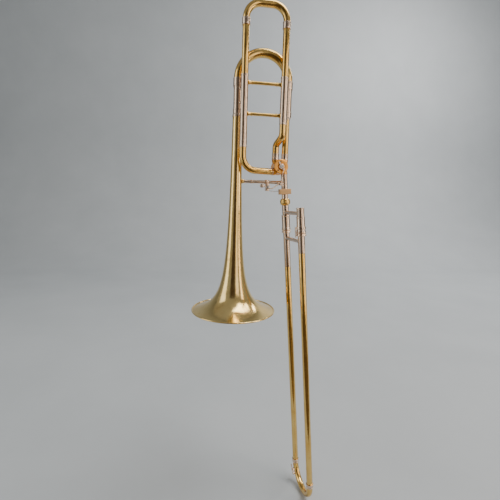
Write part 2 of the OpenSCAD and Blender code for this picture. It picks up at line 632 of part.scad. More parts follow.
// A cap over the top of a slide tube, open below.
module cork_barrel(r) difference() {
    union() {
        down(barrel_t[1]) cylinder(r = r, h = barrel_t[1] - barrel_t[0]);
        down(barrel_t[0] + ring_h) cylinder(r = r + 0.5, h = ring_h);
        down(barrel_t[1]) cylinder(r = r + 0.8, h = ring_h);
    }
    down(barrel_t[1] + eps) cylinder(r = inner_od / 2, h = barrel_t[1]);
    down(barrel_t[1] + eps) cylinder(r = barrel_in_r, h = barrel_t[1] - barrel_t[0] - 5 + eps);
}
module cork_barrel_bell() color(nickel) slide_frame() cork_barrel(barrel_r);
module cork_barrel_mouth() color(nickel) slide_frame() translate([slide_span, 0, 0])
    cork_barrel(mouth_barrel_r);
module cork_rings() color(cork) slide_frame() slide_sides()
    down(barrel_t[0] + 5 + cork_h) ring(barrel_in_r, inner_od / 2, cork_h);
// A brace across the slide with a long curved foot on each tube.
module slide_brace(t, foot_a, foot_b, h) difference() {
    union() {
        down(t) along_x() cylinder(r = slide_brace_d / 2, h = slide_span);
        down(t + h / 2) cylinder(r = foot_a + 0.9, h = h);
        translate([slide_span, 0, 0]) down(t + h / 2) cylinder(r = foot_b + 0.9, h = h);
    }
    down(t + h) cylinder(r = foot_a, h = 2 * h);
    translate([slide_span, 0, 0]) down(t + h) cylinder(r = foot_b, h = 2 * h);
}
module inner_brace() color(nickel) slide_frame() slide_brace(inner_brace_t, tenon_r, mouth_r, 12);
module mouthpiece_receiver() color(nickel) slide_frame() translate([slide_span, 0, 0]) difference() {
    union() {
        down(barrel_t[0]) cylinder(r = mouth_r, h = barrel_t[0] - mouth_top);
        down(mouth_top + 2.5) cylinder(r = mouth_r + 0.7, h = 2.5);
    }
    down(mouth_top + lip_h) cylinder(r = lip_r, h = lip_h + eps);
    down(mouth_top + lip_h + taper_h) cylinder(r1 = throat_r, r2 = lip_r, h = taper_h);
}
module leadpipe() color(brass) slide_frame() translate([slide_span, 0, 0]) difference() {
    down(barrel_t[0] + lead_len) cylinder(r = inner_id / 2, h = lead_len);
    down(barrel_t[0] + lead_len + eps) cylinder(r = throat_r - 0.2, h = lead_len + 2 * eps);
    down(mouth_top + lip_h + taper_h) cylinder(r1 = throat_r, r2 = lip_r, h = taper_h);
}
lock_in_r = mouth_barrel_r + lock_gap;
module slide_lock() color(nickel) slide_frame() translate([slide_span, 0, 0]) {
    down(lock_t + lock_h) ring(lock_in_r + 1.6, lock_in_r, lock_h);
    down(outer_top + 3) difference() {
        translate([-2, -flange_r - 2.4, 0]) cube([4, 1.8, outer_top + 3 - lock_t]);
        cylinder(r = flange_r + 0.5, h = outer_top - lock_t - lock_h + 3);
    }
    down(lock_t + lock_h) difference() {
        translate([-2, -flange_r - 1, 0]) cube([4, 3, lock_h]);
        translate([0, 0, -eps]) cylinder(r = lock_in_r, h = lock_h + 2 * eps);
    }
}

/* Outer slide */

module outer_tubes() color(brass) slide_frame() slide_sides()
    down(outer_end) ring(outer_od / 2, outer_id / 2, outer_end - flange_t);
module grip_sleeves() color(nickel) slide_frame() for (s = [[0, bell_grip], [slide_span, mouth_grip]])
    translate([s[0], 0, 0]) down(outer_top + s[1]) ring(outer_od / 2 + grip_wall, outer_od / 2, s[1]);
module outer_flanges() color(nickel) slide_frame() {
    slide_sides() {
        down(outer_top) ring(flange_r - 1.4, outer_od / 2, flange_h);
        for (t = [flange_t + 2.6, outer_top]) down(t) ring(flange_r, outer_od / 2, 2.6);
    }
    translate([slide_span, 0, 0]) rotate([0, 0, -140]) down(flange_t + flange_h / 2)
        translate([flange_r - 2, 0, 0]) along_x() cylinder(r = 1.2, h = 4.5);
}
module outer_brace() color(nickel) slide_frame() slide_brace(outer_brace_t, outer_od / 2 + grip_wall,
    outer_od / 2 + grip_wall, 12);
module key_frame() translate([bow_r * (1 - cos(key_angle)), 0, -bow_z - bow_r * sin(key_angle)])
    rotate([0, -key_angle, 0]) children();
key_hole_r = 2;
key_nipple_r = 3.4;
key_nipple = outer_od / 2 + 2.6;
key_drop = 5;                          // nipple below the middle of the key
key_pivot = outer_od / 2 + 4;
module bow() color(brass) slide_frame() difference() {
    union() {
        slide_sides() down(bow_z) ring(outer_od / 2, outer_id / 2 - 0.3, bow_z - outer_end);
        translate([bow_r, 0, -bow_z]) arc_xz(bow_r, outer_od / 2, outer_id / 2 - 0.3, 180, 180);
    }
    key_frame() translate([0, 0, -key_drop]) rotate([90, 0, 0]) cylinder(r = key_hole_r, h = outer_od);
}
module bow_ferrules() color(nickel) slide_frame() slide_sides() {
    down(bow_z) ring(outer_od / 2 + ferrule_wall, outer_od / 2, bow_ferrule);
    down(bow_z + ring_h - bow_ferrule) ring(outer_od / 2 + ferrule_wall + 0.5, outer_od / 2, ring_h);
}
module water_key_saddle() color(nickel) slide_frame() difference() {
    key_frame() {
        translate([0, 0, -key_drop]) rotate([90, 0, 0]) cylinder(r = key_nipple_r, h = key_nipple);
        for (s = [-1, 1]) translate([s * 3.4 - 0.8, -key_pivot - 1.6, 2]) cube([1.6, key_pivot, 5]);
    }
    translate([bow_r, 0, -bow_z]) rotate([90, 0, 0]) rotate([0, 0, 180])
        rotate_extrude(angle = 180) translate([bow_r, 0]) circle(r = outer_od / 2);
    key_frame() {
        translate([0, 0, -key_drop]) rotate([90, 0, 0]) cylinder(r = key_hole_r, h = 2 * outer_od);
        translate([-6, -key_pivot, 4.5]) along_x() cylinder(r = 1.05, h = 12);
    }
}
module water_key_lever() color(nickel) slide_frame() key_frame() {
    translate([-4.6, -key_pivot, 4.5]) along_x() cylinder(r = 1, h = 9.2);
    translate([-2.2, -key_pivot, 4.5]) along_x() cylinder(r = 1.9, h = 4.4);
    translate([-1.6, -key_pivot - 1.9, -key_drop]) cube([3.2, 1.8, 20]);
    translate([0, -key_nipple - 1.2, -key_drop]) rotate([90, 0, 0]) cylinder(r = 4, h = 1.6);
    translate([0, -key_pivot - 0.1, 15]) rotate([90, 0, 0]) cylinder(r = 3.6, h = 1.8);
}
module water_key_cork() color(cork) slide_frame() key_frame()
    translate([0, -key_nipple, -key_drop]) rotate([90, 0, 0]) cylinder(r = 3.4, h = 1.2);

bell();
rim_bead();
bell_ferrule();
gooseneck_ferrule();
main_sleeves();
gooseneck();
valve_ferrules();
f_sleeves();
f_brace_upper();
f_brace_lower();
f_down_bend();
f_s_bend();
f_ferrules();
wrap_posts();
valve_casing();
valve_front_plate();
valve_back_cap();
bumper_plate();
bumper_corks();
bell_brace();
brace_flanges();
receiver_tube();
receiver_block();
trigger_saddle();
trigger_pin();
trigger_spring();
rotor();
stop_arm();
stop_screw();
link_rod();
trigger_lever();
trigger_paddle();
main_crook();
main_crook_ferrules();
main_inner_legs();
f_crook();
f_crook_ferrules();
f_legs();
f_inner_legs();
lock_nut();
tenon();
inner_tubes();
stockings();
cork_barrel_bell();
cork_barrel_mouth();
cork_rings();
inner_brace();
mouthpiece_receiver();
leadpipe();
slide_lock();
outer_tubes();
grip_sleeves();
outer_flanges();
outer_brace();
bow();
bow_ferrules();
water_key_saddle();
water_key_lever();
water_key_cork();
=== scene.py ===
import math

import bmesh
import bpy
from mathutils import Matrix, Vector


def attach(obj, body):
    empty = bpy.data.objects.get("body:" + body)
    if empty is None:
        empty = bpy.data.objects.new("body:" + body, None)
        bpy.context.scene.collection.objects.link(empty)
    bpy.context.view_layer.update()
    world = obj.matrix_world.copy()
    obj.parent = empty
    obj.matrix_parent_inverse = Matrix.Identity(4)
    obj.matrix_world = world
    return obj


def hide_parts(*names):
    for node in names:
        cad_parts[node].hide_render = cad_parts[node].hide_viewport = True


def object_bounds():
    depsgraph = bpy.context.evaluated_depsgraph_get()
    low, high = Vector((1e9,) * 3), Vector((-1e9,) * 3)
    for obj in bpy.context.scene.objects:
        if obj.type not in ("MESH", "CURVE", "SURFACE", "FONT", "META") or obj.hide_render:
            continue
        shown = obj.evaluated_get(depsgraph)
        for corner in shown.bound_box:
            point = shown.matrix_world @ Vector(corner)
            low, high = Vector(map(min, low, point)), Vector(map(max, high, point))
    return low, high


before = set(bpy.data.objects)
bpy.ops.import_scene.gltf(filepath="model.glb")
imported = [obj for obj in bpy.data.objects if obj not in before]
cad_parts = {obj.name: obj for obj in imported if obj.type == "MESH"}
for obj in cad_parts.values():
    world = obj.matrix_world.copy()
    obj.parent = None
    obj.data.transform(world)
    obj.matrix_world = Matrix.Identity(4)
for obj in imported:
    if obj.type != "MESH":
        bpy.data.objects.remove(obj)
box_at_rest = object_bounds()

# ------------------------ sizes, in millimetres
MM = 0.001
# the bell: rim radius, length, rim bead, the flare's core radius, scale and exponent, and its wall
BELL_R, BELL_LEN, BEAD_R = 108.0, 482.0, 1.8
BELL_CORE, FLARE_A, FLARE_E, SHEET = 5.0, 22.0, 0.86, 0.6
# the main tubes: distance between them, radius, and the wall and bead of their ferrules
SPAN, MAIN_R, FERRULE, RING = 121.0, 10.8, 1.1, 3.5
# the F loop: its left tube, width, distance in front of the bell, and tube radius
F_X, F_SPAN, F_OFF, F_R = 12.0, 94.6, 26.0, 8.1
# the valve: height, and distance from its axis to each tube
VALVE_Z, PORT = 369.0, 12.0
PORT_END = PORT * math.sqrt(2)
VALVE_X = SPAN - PORT
# the hand slide: splay and turn in degrees, and distance between its tubes
SPLAY, TURN, SLIDE_SPAN = 5.0, 82.5, 93.4
# heights of the main sleeves: end of the bell stem, top of their ferrules, and top
STEM_TOP, FOOT_TOP, MAIN_TOP = 488.0, 500.5, 552.5
F_TOP, F_LEFT_LEN, F_RIGHT_LEN, F_SLEEVE_R = 572.0, 150.0, 94.0, 8.7
OUTER_R, INNER_R, GRIP_R = 7.9, 7.2, 8.3
BOW_Z, BOW_R, KEY_ANGLE = 812.8, SLIDE_SPAN / 2, 30.0
BRACE_Z = 331.0
TRIGGER = Vector((77.5, -19.0, 318.0))
ARM_R, ARM_REST, LINK_LEN, LINK_TILT, SLOT_RISE = 8.5, 300.0, 36.0, math.radians(9), 12.0
LINK = Vector((VALVE_X + ARM_R * math.cos(math.radians(ARM_REST)), -25.7,
               VALVE_Z + ARM_R * math.sin(math.radians(ARM_REST))))


def turn(axis, degrees):
    return Matrix.Rotation(math.radians(degrees), 4, axis)


NECK = Vector((SPAN, 0, VALVE_Z - PORT_END))
SLIDE = Matrix.Translation(NECK) @ turn("Y", -SPLAY) @ turn("Z", -TURN)
MOUTH = SLIDE @ Matrix.Translation((SLIDE_SPAN, 0, 0))
VALVE = Matrix.Translation((VALVE_X, 0, VALVE_Z)) @ turn("X", 90)
WORLD = Matrix.Identity(4)
F_SIDES = (F_X, F_X + F_SPAN)


def at(x, y, z):
    return Matrix.Translation((x, y, z))


# ------------------------ materials


def mix_colour(nodes, links, factor, a, b):
    mix = nodes.new("ShaderNodeMix")
    mix.data_type = "RGBA"
    for socket, value in ((6, a), (7, b)):
        if isinstance(value, tuple):
            mix.inputs[socket].default_value = value + (1.0,)
        else:
            links.new(value, mix.inputs[socket])
    links.new(factor, mix.inputs[0])
    return mix.outputs[2]


def noise(nodes, links, where, scale, detail=3.0, rough=0.5, stretch=(1, 1, 1)):
    mapping = nodes.new("ShaderNodeMapping")
    mapping.inputs["Scale"].default_value = stretch
    links.new(where, mapping.inputs["Vector"])
    tex = nodes.new("ShaderNodeTexNoise")
    tex.inputs["Scale"].default_value = scale
    tex.inputs["Detail"].default_value = detail
    tex.inputs["Roughness"].default_value = rough
    links.new(mapping.outputs[0], tex.inputs["Vector"])
    return tex.outputs["Fac"]


def ramp(nodes, links, value, low, high, to_low=0.0, to_high=1.0):
    r = nodes.new("ShaderNodeMapRange")
    r.clamp = True
    for key, v in (("From Min", low), ("From Max", high), ("To Min", to_low), ("To Max", to_high)):
        r.inputs[key].default_value = v
    links.new(value, r.inputs["Value"])
    return r.outputs[0]


def metal(name, bright, deep, stain, shine, dull, wave=0.0, coat=0.0, along=(1, 1, 0.08), amount=1.0):
    """Polished metal: two tones drifting over it, stains, fine polishing lines and a slight waviness."""
    mat = bpy.data.materials.new(name)
    mat.use_nodes = True
    nodes, links = mat.node_tree.nodes, mat.node_tree.links
    shader = nodes["Principled BSDF"]
    where = nodes.new("ShaderNodeTexCoord").outputs["Object"]
    drift = ramp(nodes, links, noise(nodes, links, where, 16, 4, 0.55), 0.35, 0.68)
    patch = ramp(nodes, links, noise(nodes, links, where, 70, 5, 0.62), 0.56, 0.78, 0.0, 0.55 * amount)
    specks = ramp(nodes, links, noise(nodes, links, where, 900, 2, 0.5), 0.66, 0.78, 0.0, 0.4 * amount)
    colour = mix_colour(nodes, links, drift, bright, deep)
    colour = mix_colour(nodes, links, patch, colour, stain)
    colour = mix_colour(nodes, links, specks, colour, stain)
    links.new(colour, shader.inputs["Base Color"])
    lines = noise(nodes, links, where, 1500, 2, 0.5, along)
    scuffs = noise(nodes, links, where, 120, 4, 0.6)
    add = nodes.new("ShaderNodeMath")
    add.operation = "ADD"
    links.new(ramp(nodes, links, lines, 0.3, 0.8, 0.0, 0.06), add.inputs[0])
    links.new(ramp(nodes, links, scuffs, 0.35, 0.75, shine, dull), add.inputs[1])
    links.new(add.outputs[0], shader.inputs["Roughness"])
    shader.inputs["Metallic"].default_value = 1.0
    if coat:
        shader.inputs["Coat Weight"].default_value = coat
        shader.inputs["Coat Roughness"].default_value = 0.06
    if wave:
        bump = nodes.new("ShaderNodeBump")
        bump.inputs["Strength"].default_value = wave
        bump.inputs["Distance"].default_value = 0.001
        links.new(noise(nodes, links, where, 60, 2, 0.4), bump.inputs["Height"])
        links.new(bump.outputs[0], shader.inputs["Normal"])
    return mat


def plain(name, a, b, roughness, scale, bumps):
    mat = bpy.data.materials.new(name)
    mat.use_nodes = True
    nodes, links = mat.node_tree.nodes, mat.node_tree.links
    shader = nodes["Principled BSDF"]
    where = nodes.new("ShaderNodeTexCoord").outputs["Object"]
    grain = noise(nodes, links, where, scale, 5, 0.65)
    links.new(mix_colour(nodes, links, ramp(nodes, links, grain, 0.3, 0.7), a, b),
              shader.inputs["Base Color"])
    links.new(ramp(nodes, links, grain, 0.2, 0.8, roughness - 0.06, roughness + 0.08),
              shader.inputs["Roughness"])
    if bumps:
        bump = nodes.new("ShaderNodeBump")
        bump.inputs["Strength"].default_value = bumps
        bump.inputs["Distance"].default_value = 0.0006
        links.new(grain, bump.inputs["Height"])
        links.new(bump.outputs[0], shader.inputs["Normal"])
    return mat


BRASS = metal("lacquered_brass", (0.88, 0.60, 0.20), (0.76, 0.46, 0.12), (0.42, 0.22, 0.06), 0.10, 0.2, 0.12,
              0.1)
BELL_BRASS = metal("bell_brass", (0.95, 0.71, 0.30), (0.88, 0.60, 0.21), (0.46, 0.26, 0.09), 0.12, 0.22, 0.15,
                   0.1)
ROSE = metal("rose_brass", (0.93, 0.72, 0.55), (0.84, 0.60, 0.42), (0.50, 0.30, 0.17), 0.14, 0.26, 0.1, 0.1)
GOLD = metal("gold_brass", (0.95, 0.50, 0.12), (0.84, 0.38, 0.08), (0.42, 0.18, 0.05), 0.24, 0.36, 0.1, 0.1)
NICKEL = metal("nickel_silver", (0.78, 0.62, 0.49), (0.67, 0.51, 0.39), (0.36, 0.25, 0.17), 0.12, 0.24, 0.1,
               0.0)
STEEL = metal("spring_steel", (0.55, 0.54, 0.53), (0.42, 0.41, 0.40), (0.22, 0.18, 0.14), 0.2, 0.34)
CREAM = plain("satin_block", (0.98, 0.60, 0.28), (0.90, 0.52, 0.22), 0.42, 60, 0.0)
CORK = plain("cork", (0.50, 0.30, 0.15), (0.33, 0.18, 0.08), 0.85, 900, 0.6)
WALL = plain("pale_sweep", (0.46, 0.49, 0.51), (0.50, 0.53, 0.55), 0.8, 2.2, 0.0)
# near-black, slightly warm card colour: painted shade, standing in for the dark unlit room that the brass
# reflects
SHADE_CARD = plain("painted_shade_card", (0.070, 0.048, 0.030), (0.090, 0.062, 0.040), 0.9, 3.0, 0.0)
SLOTS = {"lacquered_brass": BRASS, "gold_brass": GOLD, "nickel_silver": NICKEL, "cream_block": CREAM,
         "steel": STEEL, "cork": CORK}

# ------------------------ shape makers, each gives (points, faces) in mm


def softened(profile, size=0.35, steps=3):
    """A closed profile with each corner rounded."""
    out, n = [], len(profile)
    for i in range(n):
        a, b, c = (Vector(profile[j % n]) for j in (i - 1, i, i + 1))
        back, ahead = a - b, c - b
        if back.length < 1e-6 or ahead.length < 1e-6 or back.angle(ahead) > 2.9:
            out.append(tuple(b))
            continue
        r = min(size, 0.42 * back.length, 0.42 * ahead.length)
        p, q = b + back.normalized() * r, b + ahead.normalized() * r
        for k in range(steps + 1):
            t = k / steps
            out.append(tuple(p * (1 - t) ** 2 + b * 2 * t * (1 - t) + q * t * t))
    return out


def grid(rows, wrap_rows, wrap_cols):
    """Points and faces of a net of rows, joined across rows and columns where asked."""
    points = [p for row in rows for p in row]
    n, m, faces = len(rows), len(rows[0]), []
    for i in range(n if wrap_rows else n - 1):
        for j in range(m if wrap_cols else m - 1):
            a, b = i, (i + 1) % n
            c, d = j, (j + 1) % m
            faces.append((a * m + c, a * m + d, b * m + d, b * m + c))
    return points, faces


def revolved(profile, n=72):
    """A closed profile of (radius, height) turned about z."""
    rows = []
    for i in range(n):
        a = 2 * math.pi * i / n
        rows.append([Vector((r * math.cos(a), r * math.sin(a), z)) for r, z in profile])
    return grid(rows, True, True)


def ring(ro, ri, low, high, soft=0.3, n=64):
    return revolved(softened([(ri, low), (ro, low), (ro, high), (ri, high)], soft), n)


def disc(r, low, high, soft=0.3, n=56):
    return revolved(softened([(0.001, low), (r, low), (r, high), (0.001, high)], soft), n)


def ferrule(ri, wall, low, high, n=64):
    """A fitted ring with a raised bead at each end and a thin groove beside it."""
    h, ro = RING * 0.62, ri + wall
    p = [(ri, low), (ro, low), (ro, low + h), (ro - 0.45, low + h + 0.25), (ro - 0.3, low + h + 0.8),
         (ro - 0.3, high - h - 0.8), (ro - 0.45, high - h - 0.25), (ro, high - h), (ro, high), (ri, high)]
    return revolved(softened(p, 0.3), n)


def pipe(path, ro, ri, n=40):
    """A tube along points; ro and ri are numbers or functions of the share of the length."""
    path = [Vector(p) for p in path]
    length = [0.0]
    for a, b in zip(path, path[1:]):
        length.append(length[-1] + (b - a).length)
    side, rows = None, []
    for i, p in enumerate(path):
        ahead = (path[min(i + 1, len(path) - 1)] - path[max(i - 1, 0)]).normalized()
        if side is None:
            side = ahead.orthogonal().normalized()
        side = (side - ahead * side.dot(ahead)).normalized()
        other = ahead.cross(side)
        s = length[i] / length[-1]
        out_r, in_r = (f(s) if callable(f) else f for f in (ro, ri))
        rows.append([[p + (side * math.cos(2 * math.pi * k / n) + other * math.sin(2 * math.pi * k / n)) * r
                      for k in range(n)] for r in (out_r, in_r)])
    loops = [r[0] for r in rows] + [r[1] for r in reversed(rows)]
    return grid(loops, True, True)


def rod(path, r, n=24):
    """A solid bar with rounded ends."""
    path = [Vector(p) for p in path]
    end = (lambda s: r) if not callable(r) else r
    first, last = (path[1] - path[0]).normalized(), (path[-1] - path[-2]).normalized()
    cap = 0.12 * end(0)
    body = [path[0] + first * cap] + path[1:-1] + [path[-1] - last * cap]
    out = [path[0]] + body + [path[-1]]
    length = [0.0]
    for a, b in zip(body, body[1:]):
        length.append(length[-1] + (b - a).length)
    share = [0.0] + [x / length[-1] for x in length] + [1.0]
    side, rows = None, []
    for i, p in enumerate(out):
        ahead = (out[min(i + 1, len(out) - 1)] - out[max(i - 1, 0)]).normalized()
        if side is None:
            side = ahead.orthogonal().normalized()
        side = (side - ahead * side.dot(ahead)).normalized()
        other = ahead.cross(side)
        rad = end(share[i]) * (0.86 if i in (0, len(out) - 1) else 1.0)
        rows.append([p + (side * math.cos(2 * math.pi * k / n) + other * math.sin(2 * math.pi * k / n)) * rad
                     for k in range(n)])
    points, faces = grid(rows, False, True)
    faces.append(tuple(reversed(range(n))))
    faces.append(tuple(range(len(points) - n, len(points))))
    return points, faces


def strap(path, width, thick, across):
    """A flat bent strip: width lies along the given direction, thick across it."""
    path, across = [Vector(p) for p in path], Vector(across).normalized()
    rows = []
    for i, p in enumerate(path):
        ahead = (path[min(i + 1, len(path) - 1)] - path[max(i - 1, 0)]).normalized()
        up = ahead.cross(across).normalized()
        w, t, e = width / 2, thick / 2, min(0.3, thick * 0.3)
        corners = ((-w + e, -t), (w - e, -t), (w, -t + e), (w, t - e),
                   (w - e, t), (-w + e, t), (-w, t - e), (-w, -t + e))
        rows.append([p + across * a + up * b for a, b in corners])
    points, faces = grid(rows, False, True)
    faces.append(tuple(reversed(range(8))))
    faces.append(tuple(range(len(points) - 8, len(points))))
    return points, faces


def block(low, high, edge=0.6):
    """A box with softened edges."""
    bm = bmesh.new()
    bmesh.ops.create_cube(bm, size=1.0)
    low, high = Vector(low), Vector(high)
    for v in bm.verts:
        v.co = Vector(((low[i] + high[i]) / 2 + v.co[i] * (high[i] - low[i]) for i in range(3)))
    bmesh.ops.bevel(bm, geom=list(bm.edges), offset=edge, segments=3, profile=0.6, affect="EDGES")
    bm.verts.ensure_lookup_table()
    out = [v.co.copy() for v in bm.verts], [tuple(v.index for v in f.verts) for f in bm.faces]
    bm.free()
    return out


def saddle(tube_r, half_angle, half_h, thick, n=20, m=16):
    """An oval foot wrapped round a tube that runs along z, centred on the +x side."""
    rows = []
    for layer in (0, 1):
        for i in range(n + 1):
            a = -1 + 2 * i / n
            row = []
            for j in range(m + 1):
                b = -1 + 2 * j / m
                u, v = a * math.sqrt(1 - b * b / 2), b * math.sqrt(1 - a * a / 2)
                t = thick * (1 - 0.55 * (u * u + v * v) ** 2) if layer == 0 else 0.0
                ang, r = math.radians(half_angle) * u, tube_r + t
                row.append(Vector((r * math.cos(ang), r * math.sin(ang), half_h * v)))
            rows.append(row)
    points = [p for row in rows for p in row]
    w, size, faces = m + 1, (n + 1) * (m + 1), []
    for i in range(n):
        for j in range(m):
            q = [i * w + j, i * w + j + 1, (i + 1) * w + j + 1, (i + 1) * w + j]
            faces.append(tuple(q))
            faces.append(tuple(size + k for k in reversed(q)))
    edge = [j for j in range(w)] + [i * w + m for i in range(1, n + 1)]
    edge += [n * w + j for j in range(m - 1, -1, -1)] + [i * w for i in range(n - 1, 0, -1)]
    for a, b in zip(edge, edge[1:] + edge[:1]):
        faces.append((b, a, size + a, size + b))
    return points, faces


def moved(shape, matrix):
    return [matrix @ Vector(p) for p in shape[0]], shape[1]


def joined(*shapes):
    points, faces = [], []
    for p, f in shapes:
        n = len(points)
        points += p
        faces += [tuple(i + n for i in face) for face in f]
    return points, faces


def arc(centre, radius, start, end, u, v, steps=None):
    """Points of an arc in the plane of u and v, angles in degrees."""
    steps = steps or max(6, int(abs(end - start) / 3.5))
    out = []
    for i in range(steps + 1):
        a = math.radians(start + (end - start) * i / steps)
        out.append(Vector(centre) + (Vector(u) * math.cos(a) + Vector(v) * math.sin(a)) * radius)
    return out


X, Y, Z = Vector((1, 0, 0)), Vector((0, 1, 0)), Vector((0, 0, 1))


def piece(name, shape, body, nodes, slot, matrix=WORLD, material=None, smooth=40):
    """Makes one shown piece in the row frame, ties it to its body and hides the CAD nodes it stands for."""
    points, faces = moved(shape, matrix)
    mesh = bpy.data.meshes.new(name)
    mesh.from_pydata([p * MM for p in points], [], faces)
    bm = bmesh.new()
    bm.from_mesh(mesh)
    bmesh.ops.remove_doubles(bm, verts=bm.verts, dist=1e-6)
    bmesh.ops.recalc_face_normals(bm, faces=bm.faces)
    bm.to_mesh(mesh)
    bm.free()
    mesh.materials.append(material or SLOTS[slot])
    obj = bpy.data.objects.new(name, mesh)
    bpy.context.scene.collection.objects.link(obj)
    for poly in mesh.polygons:
        poly.use_smooth = True
    mesh.set_sharp_from_angle(angle=math.radians(smooth))
    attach(obj, body)
    if nodes:
        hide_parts(*([nodes] if isinstance(nodes, str) else nodes))
    return obj


# ------------------------ bell


def bell_r(z):
    return BELL_CORE + (BELL_R - BEAD_R - BELL_CORE) * ((z - BEAD_R + FLARE_A) / FLARE_A) ** -FLARE_E


def bell_profile(steps, inside):
    out = []
    for i in range(steps + 1):
        z = BEAD_R + FLARE_A * (((BELL_LEN - BEAD_R + FLARE_A) / FLARE_A) ** (i / steps) - 1)
        slope = -FLARE_E * (bell_r(z) - BELL_CORE) / (z - BEAD_R + FLARE_A)
        n = math.hypot(1, slope)
        out.append((bell_r(z) - SHEET / n, z + SHEET * slope / n) if inside else (bell_r(z), z))
    return out


stem_r = bell_r(BELL_LEN)
flare_end = BELL_R - 2 * BEAD_R + 0.6
outer = [p for p in bell_profile(140, False) if p[0] < flare_end] + [(stem_r, STEM_TOP)]
inner = [p for p in bell_profile(140, True) if p[0] < flare_end] + [(stem_r - SHEET, STEM_TOP)]
low_rim = (BELL_R - 2 * BEAD_R + 0.5, BEAD_R)
piece("bell", revolved([low_rim] + outer + inner[::-1], 160), "bell_section", "bell", "lacquered_brass",
             material=BELL_BRASS, smooth=60)
bead = [(BELL_R - BEAD_R + (BEAD_R - 0.05) * math.cos(a), BEAD_R + (BEAD_R - 0.05) * math.sin(a))
        for a in [2 * math.pi * k / 20 for k in range(20)]]
piece("rim_bead", revolved(bead, 160), "bell_section", "rim_bead", "lacquered_brass", material=BELL_BRASS)

# ------------------------ ferrules and sleeves of the main tuning slide


def foot(low_r, name, x):
    top_r = MAIN_R + FERRULE
    start_r = low_r + FERRULE
    p = [(low_r, BELL_LEN), (start_r, BELL_LEN), (start_r, BELL_LEN + 2.4), (start_r - 0.5, BELL_LEN + 2.9),
         (max(low_r, MAIN_R) + FERRULE - 0.4, STEM_TOP - 1), (top_r - 0.4, STEM_TOP + 1),
         (top_r - 0.4, FOOT_TOP - 3), (top_r, FOOT_TOP - 2.6), (top_r, FOOT_TOP), (MAIN_R, FOOT_TOP),
         (MAIN_R, STEM_TOP), (low_r, STEM_TOP)]
    piece(name, revolved(softened(p, 0.3), 64), "bell_section", name, "nickel_silver", at(x, 0, 0))


foot(stem_r, "bell_ferrule", 0)
foot(F_R, "gooseneck_ferrule", SPAN)

MAIN_IN, LEG_IN = MAIN_R - 0.5, MAIN_R - 1.06
for i, x in enumerate((0, SPAN)):
    side = ("bell_side", "valve_side")[i]
    sleeve = [(MAIN_IN, STEM_TOP), (MAIN_R, STEM_TOP), (MAIN_R, MAIN_TOP - 3.6),
              (MAIN_R + 0.6, MAIN_TOP - 3.3), (MAIN_R + 0.6, MAIN_TOP), (MAIN_IN, MAIN_TOP)]
    piece("main_sleeve_" + side, revolved(softened(sleeve, 0.25), 64), "bell_section", "main_sleeves",
          "nickel_silver", at(x, 0, 0))
    z = MAIN_TOP + 0.2
    piece("main_crook_ferrule_" + side, ferrule(MAIN_R, FERRULE + 0.6, z, z + 18), "main_slide",
          "main_crook_ferrules", "nickel_silver", at(x, 0, 0))
    piece("main_inner_leg_" + side, ring(MAIN_IN - 0.06, LEG_IN, z - 50, z, 0.1), "main_slide",
          "main_inner_legs", "nickel_silver", at(x, 0, 0))
bend_z = MAIN_TOP + 0.2 + 19
path = [Vector((0, 0, MAIN_TOP + 0.2)), Vector((0, 0, bend_z - 4))]
path += arc((SPAN / 2, 0, bend_z), SPAN / 2, 180, 0, X, Z, 60)
path += [Vector((SPAN, 0, bend_z - 4)), Vector((SPAN, 0, MAIN_TOP + 0.2))]
piece("main_crook", pipe(path, MAIN_R, LEG_IN, 48), "main_slide", "main_crook", "lacquered_brass")
piece("gooseneck", ring(F_R, F_R - 0.5, VALVE_Z + PORT_END + 3, STEM_TOP, 0.1), "bell_section", "gooseneck",
      "lacquered_brass", at(SPAN, 0, 0))

# ------------------------ F loop

F_LOW = (F_TOP - F_LEFT_LEN, F_TOP - F_RIGHT_LEN)
LEG_Z, LEG_LEN, CROOK_FERRULE = F_TOP + 0.2, 104.5, 15.0
for i, x in enumerate(F_SIDES):
    side = ("left", "right")[i]
    here = at(x, -F_OFF, 0)
    low = F_LOW[i]
    p = [(F_R - 0.05, low), (F_SLEEVE_R, low), (F_SLEEVE_R, F_TOP - 3.7), (F_SLEEVE_R + 0.65, F_TOP - 3.4),
         (F_SLEEVE_R + 0.65, F_TOP), (F_R - 0.05, F_TOP)]
    piece("f_sleeve_" + side, revolved(softened(p, 0.25), 64), "bell_section", "f_sleeves", "nickel_silver",
          here)
    p = [(F_R, low - 13), (F_SLEEVE_R + 0.5, low - 13), (F_SLEEVE_R + 0.5, low - 10.6),
         (F_SLEEVE_R + 0.1, low - 10.2), (F_SLEEVE_R + 0.1, low - 2.8), (F_SLEEVE_R + 0.55, low - 2.4),
         (F_SLEEVE_R + 0.55, low), (F_R - 0.5, low), (F_R - 0.5, low - 8), (F_R, low - 8)]
    piece("f_ferrule_" + side, revolved(softened(p, 0.25), 64), "bell_section", "f_ferrules", "nickel_silver",
          here)
    piece("f_leg_" + side, ring(F_R, F_R - 0.5, LEG_Z, LEG_Z + LEG_LEN + 7.3, 0.12), "f_slide", "f_legs",
          "lacquered_brass", here)
    piece("f_inner_leg_" + side, ring(F_R - 0.11, F_R - 0.8, LEG_Z - 90, LEG_Z, 0.1), "f_slide",
          "f_inner_legs", "nickel_silver", here)
    piece("f_crook_ferrule_" + side, ferrule(F_R, FERRULE + 0.5, LEG_Z + LEG_LEN,
                                             LEG_Z + LEG_LEN + CROOK_FERRULE), "f_slide", "f_crook_ferrules",
          "nickel_silver", here)
bend, corner = LEG_Z + LEG_LEN + CROOK_FERRULE + 1, 34.0
left, right = F_SIDES
path = [Vector((left, -F_OFF, bend - 8.5)), Vector((left, -F_OFF, bend - 2))]
path += arc((left + corner, -F_OFF, bend), corner, 180, 90, X, Z, 30)
path += arc((right - corner, -F_OFF, bend), corner, 90, 0, X, Z, 30)
path += [Vector((right, -F_OFF, bend - 2)), Vector((right, -F_OFF, bend - 8.5))]
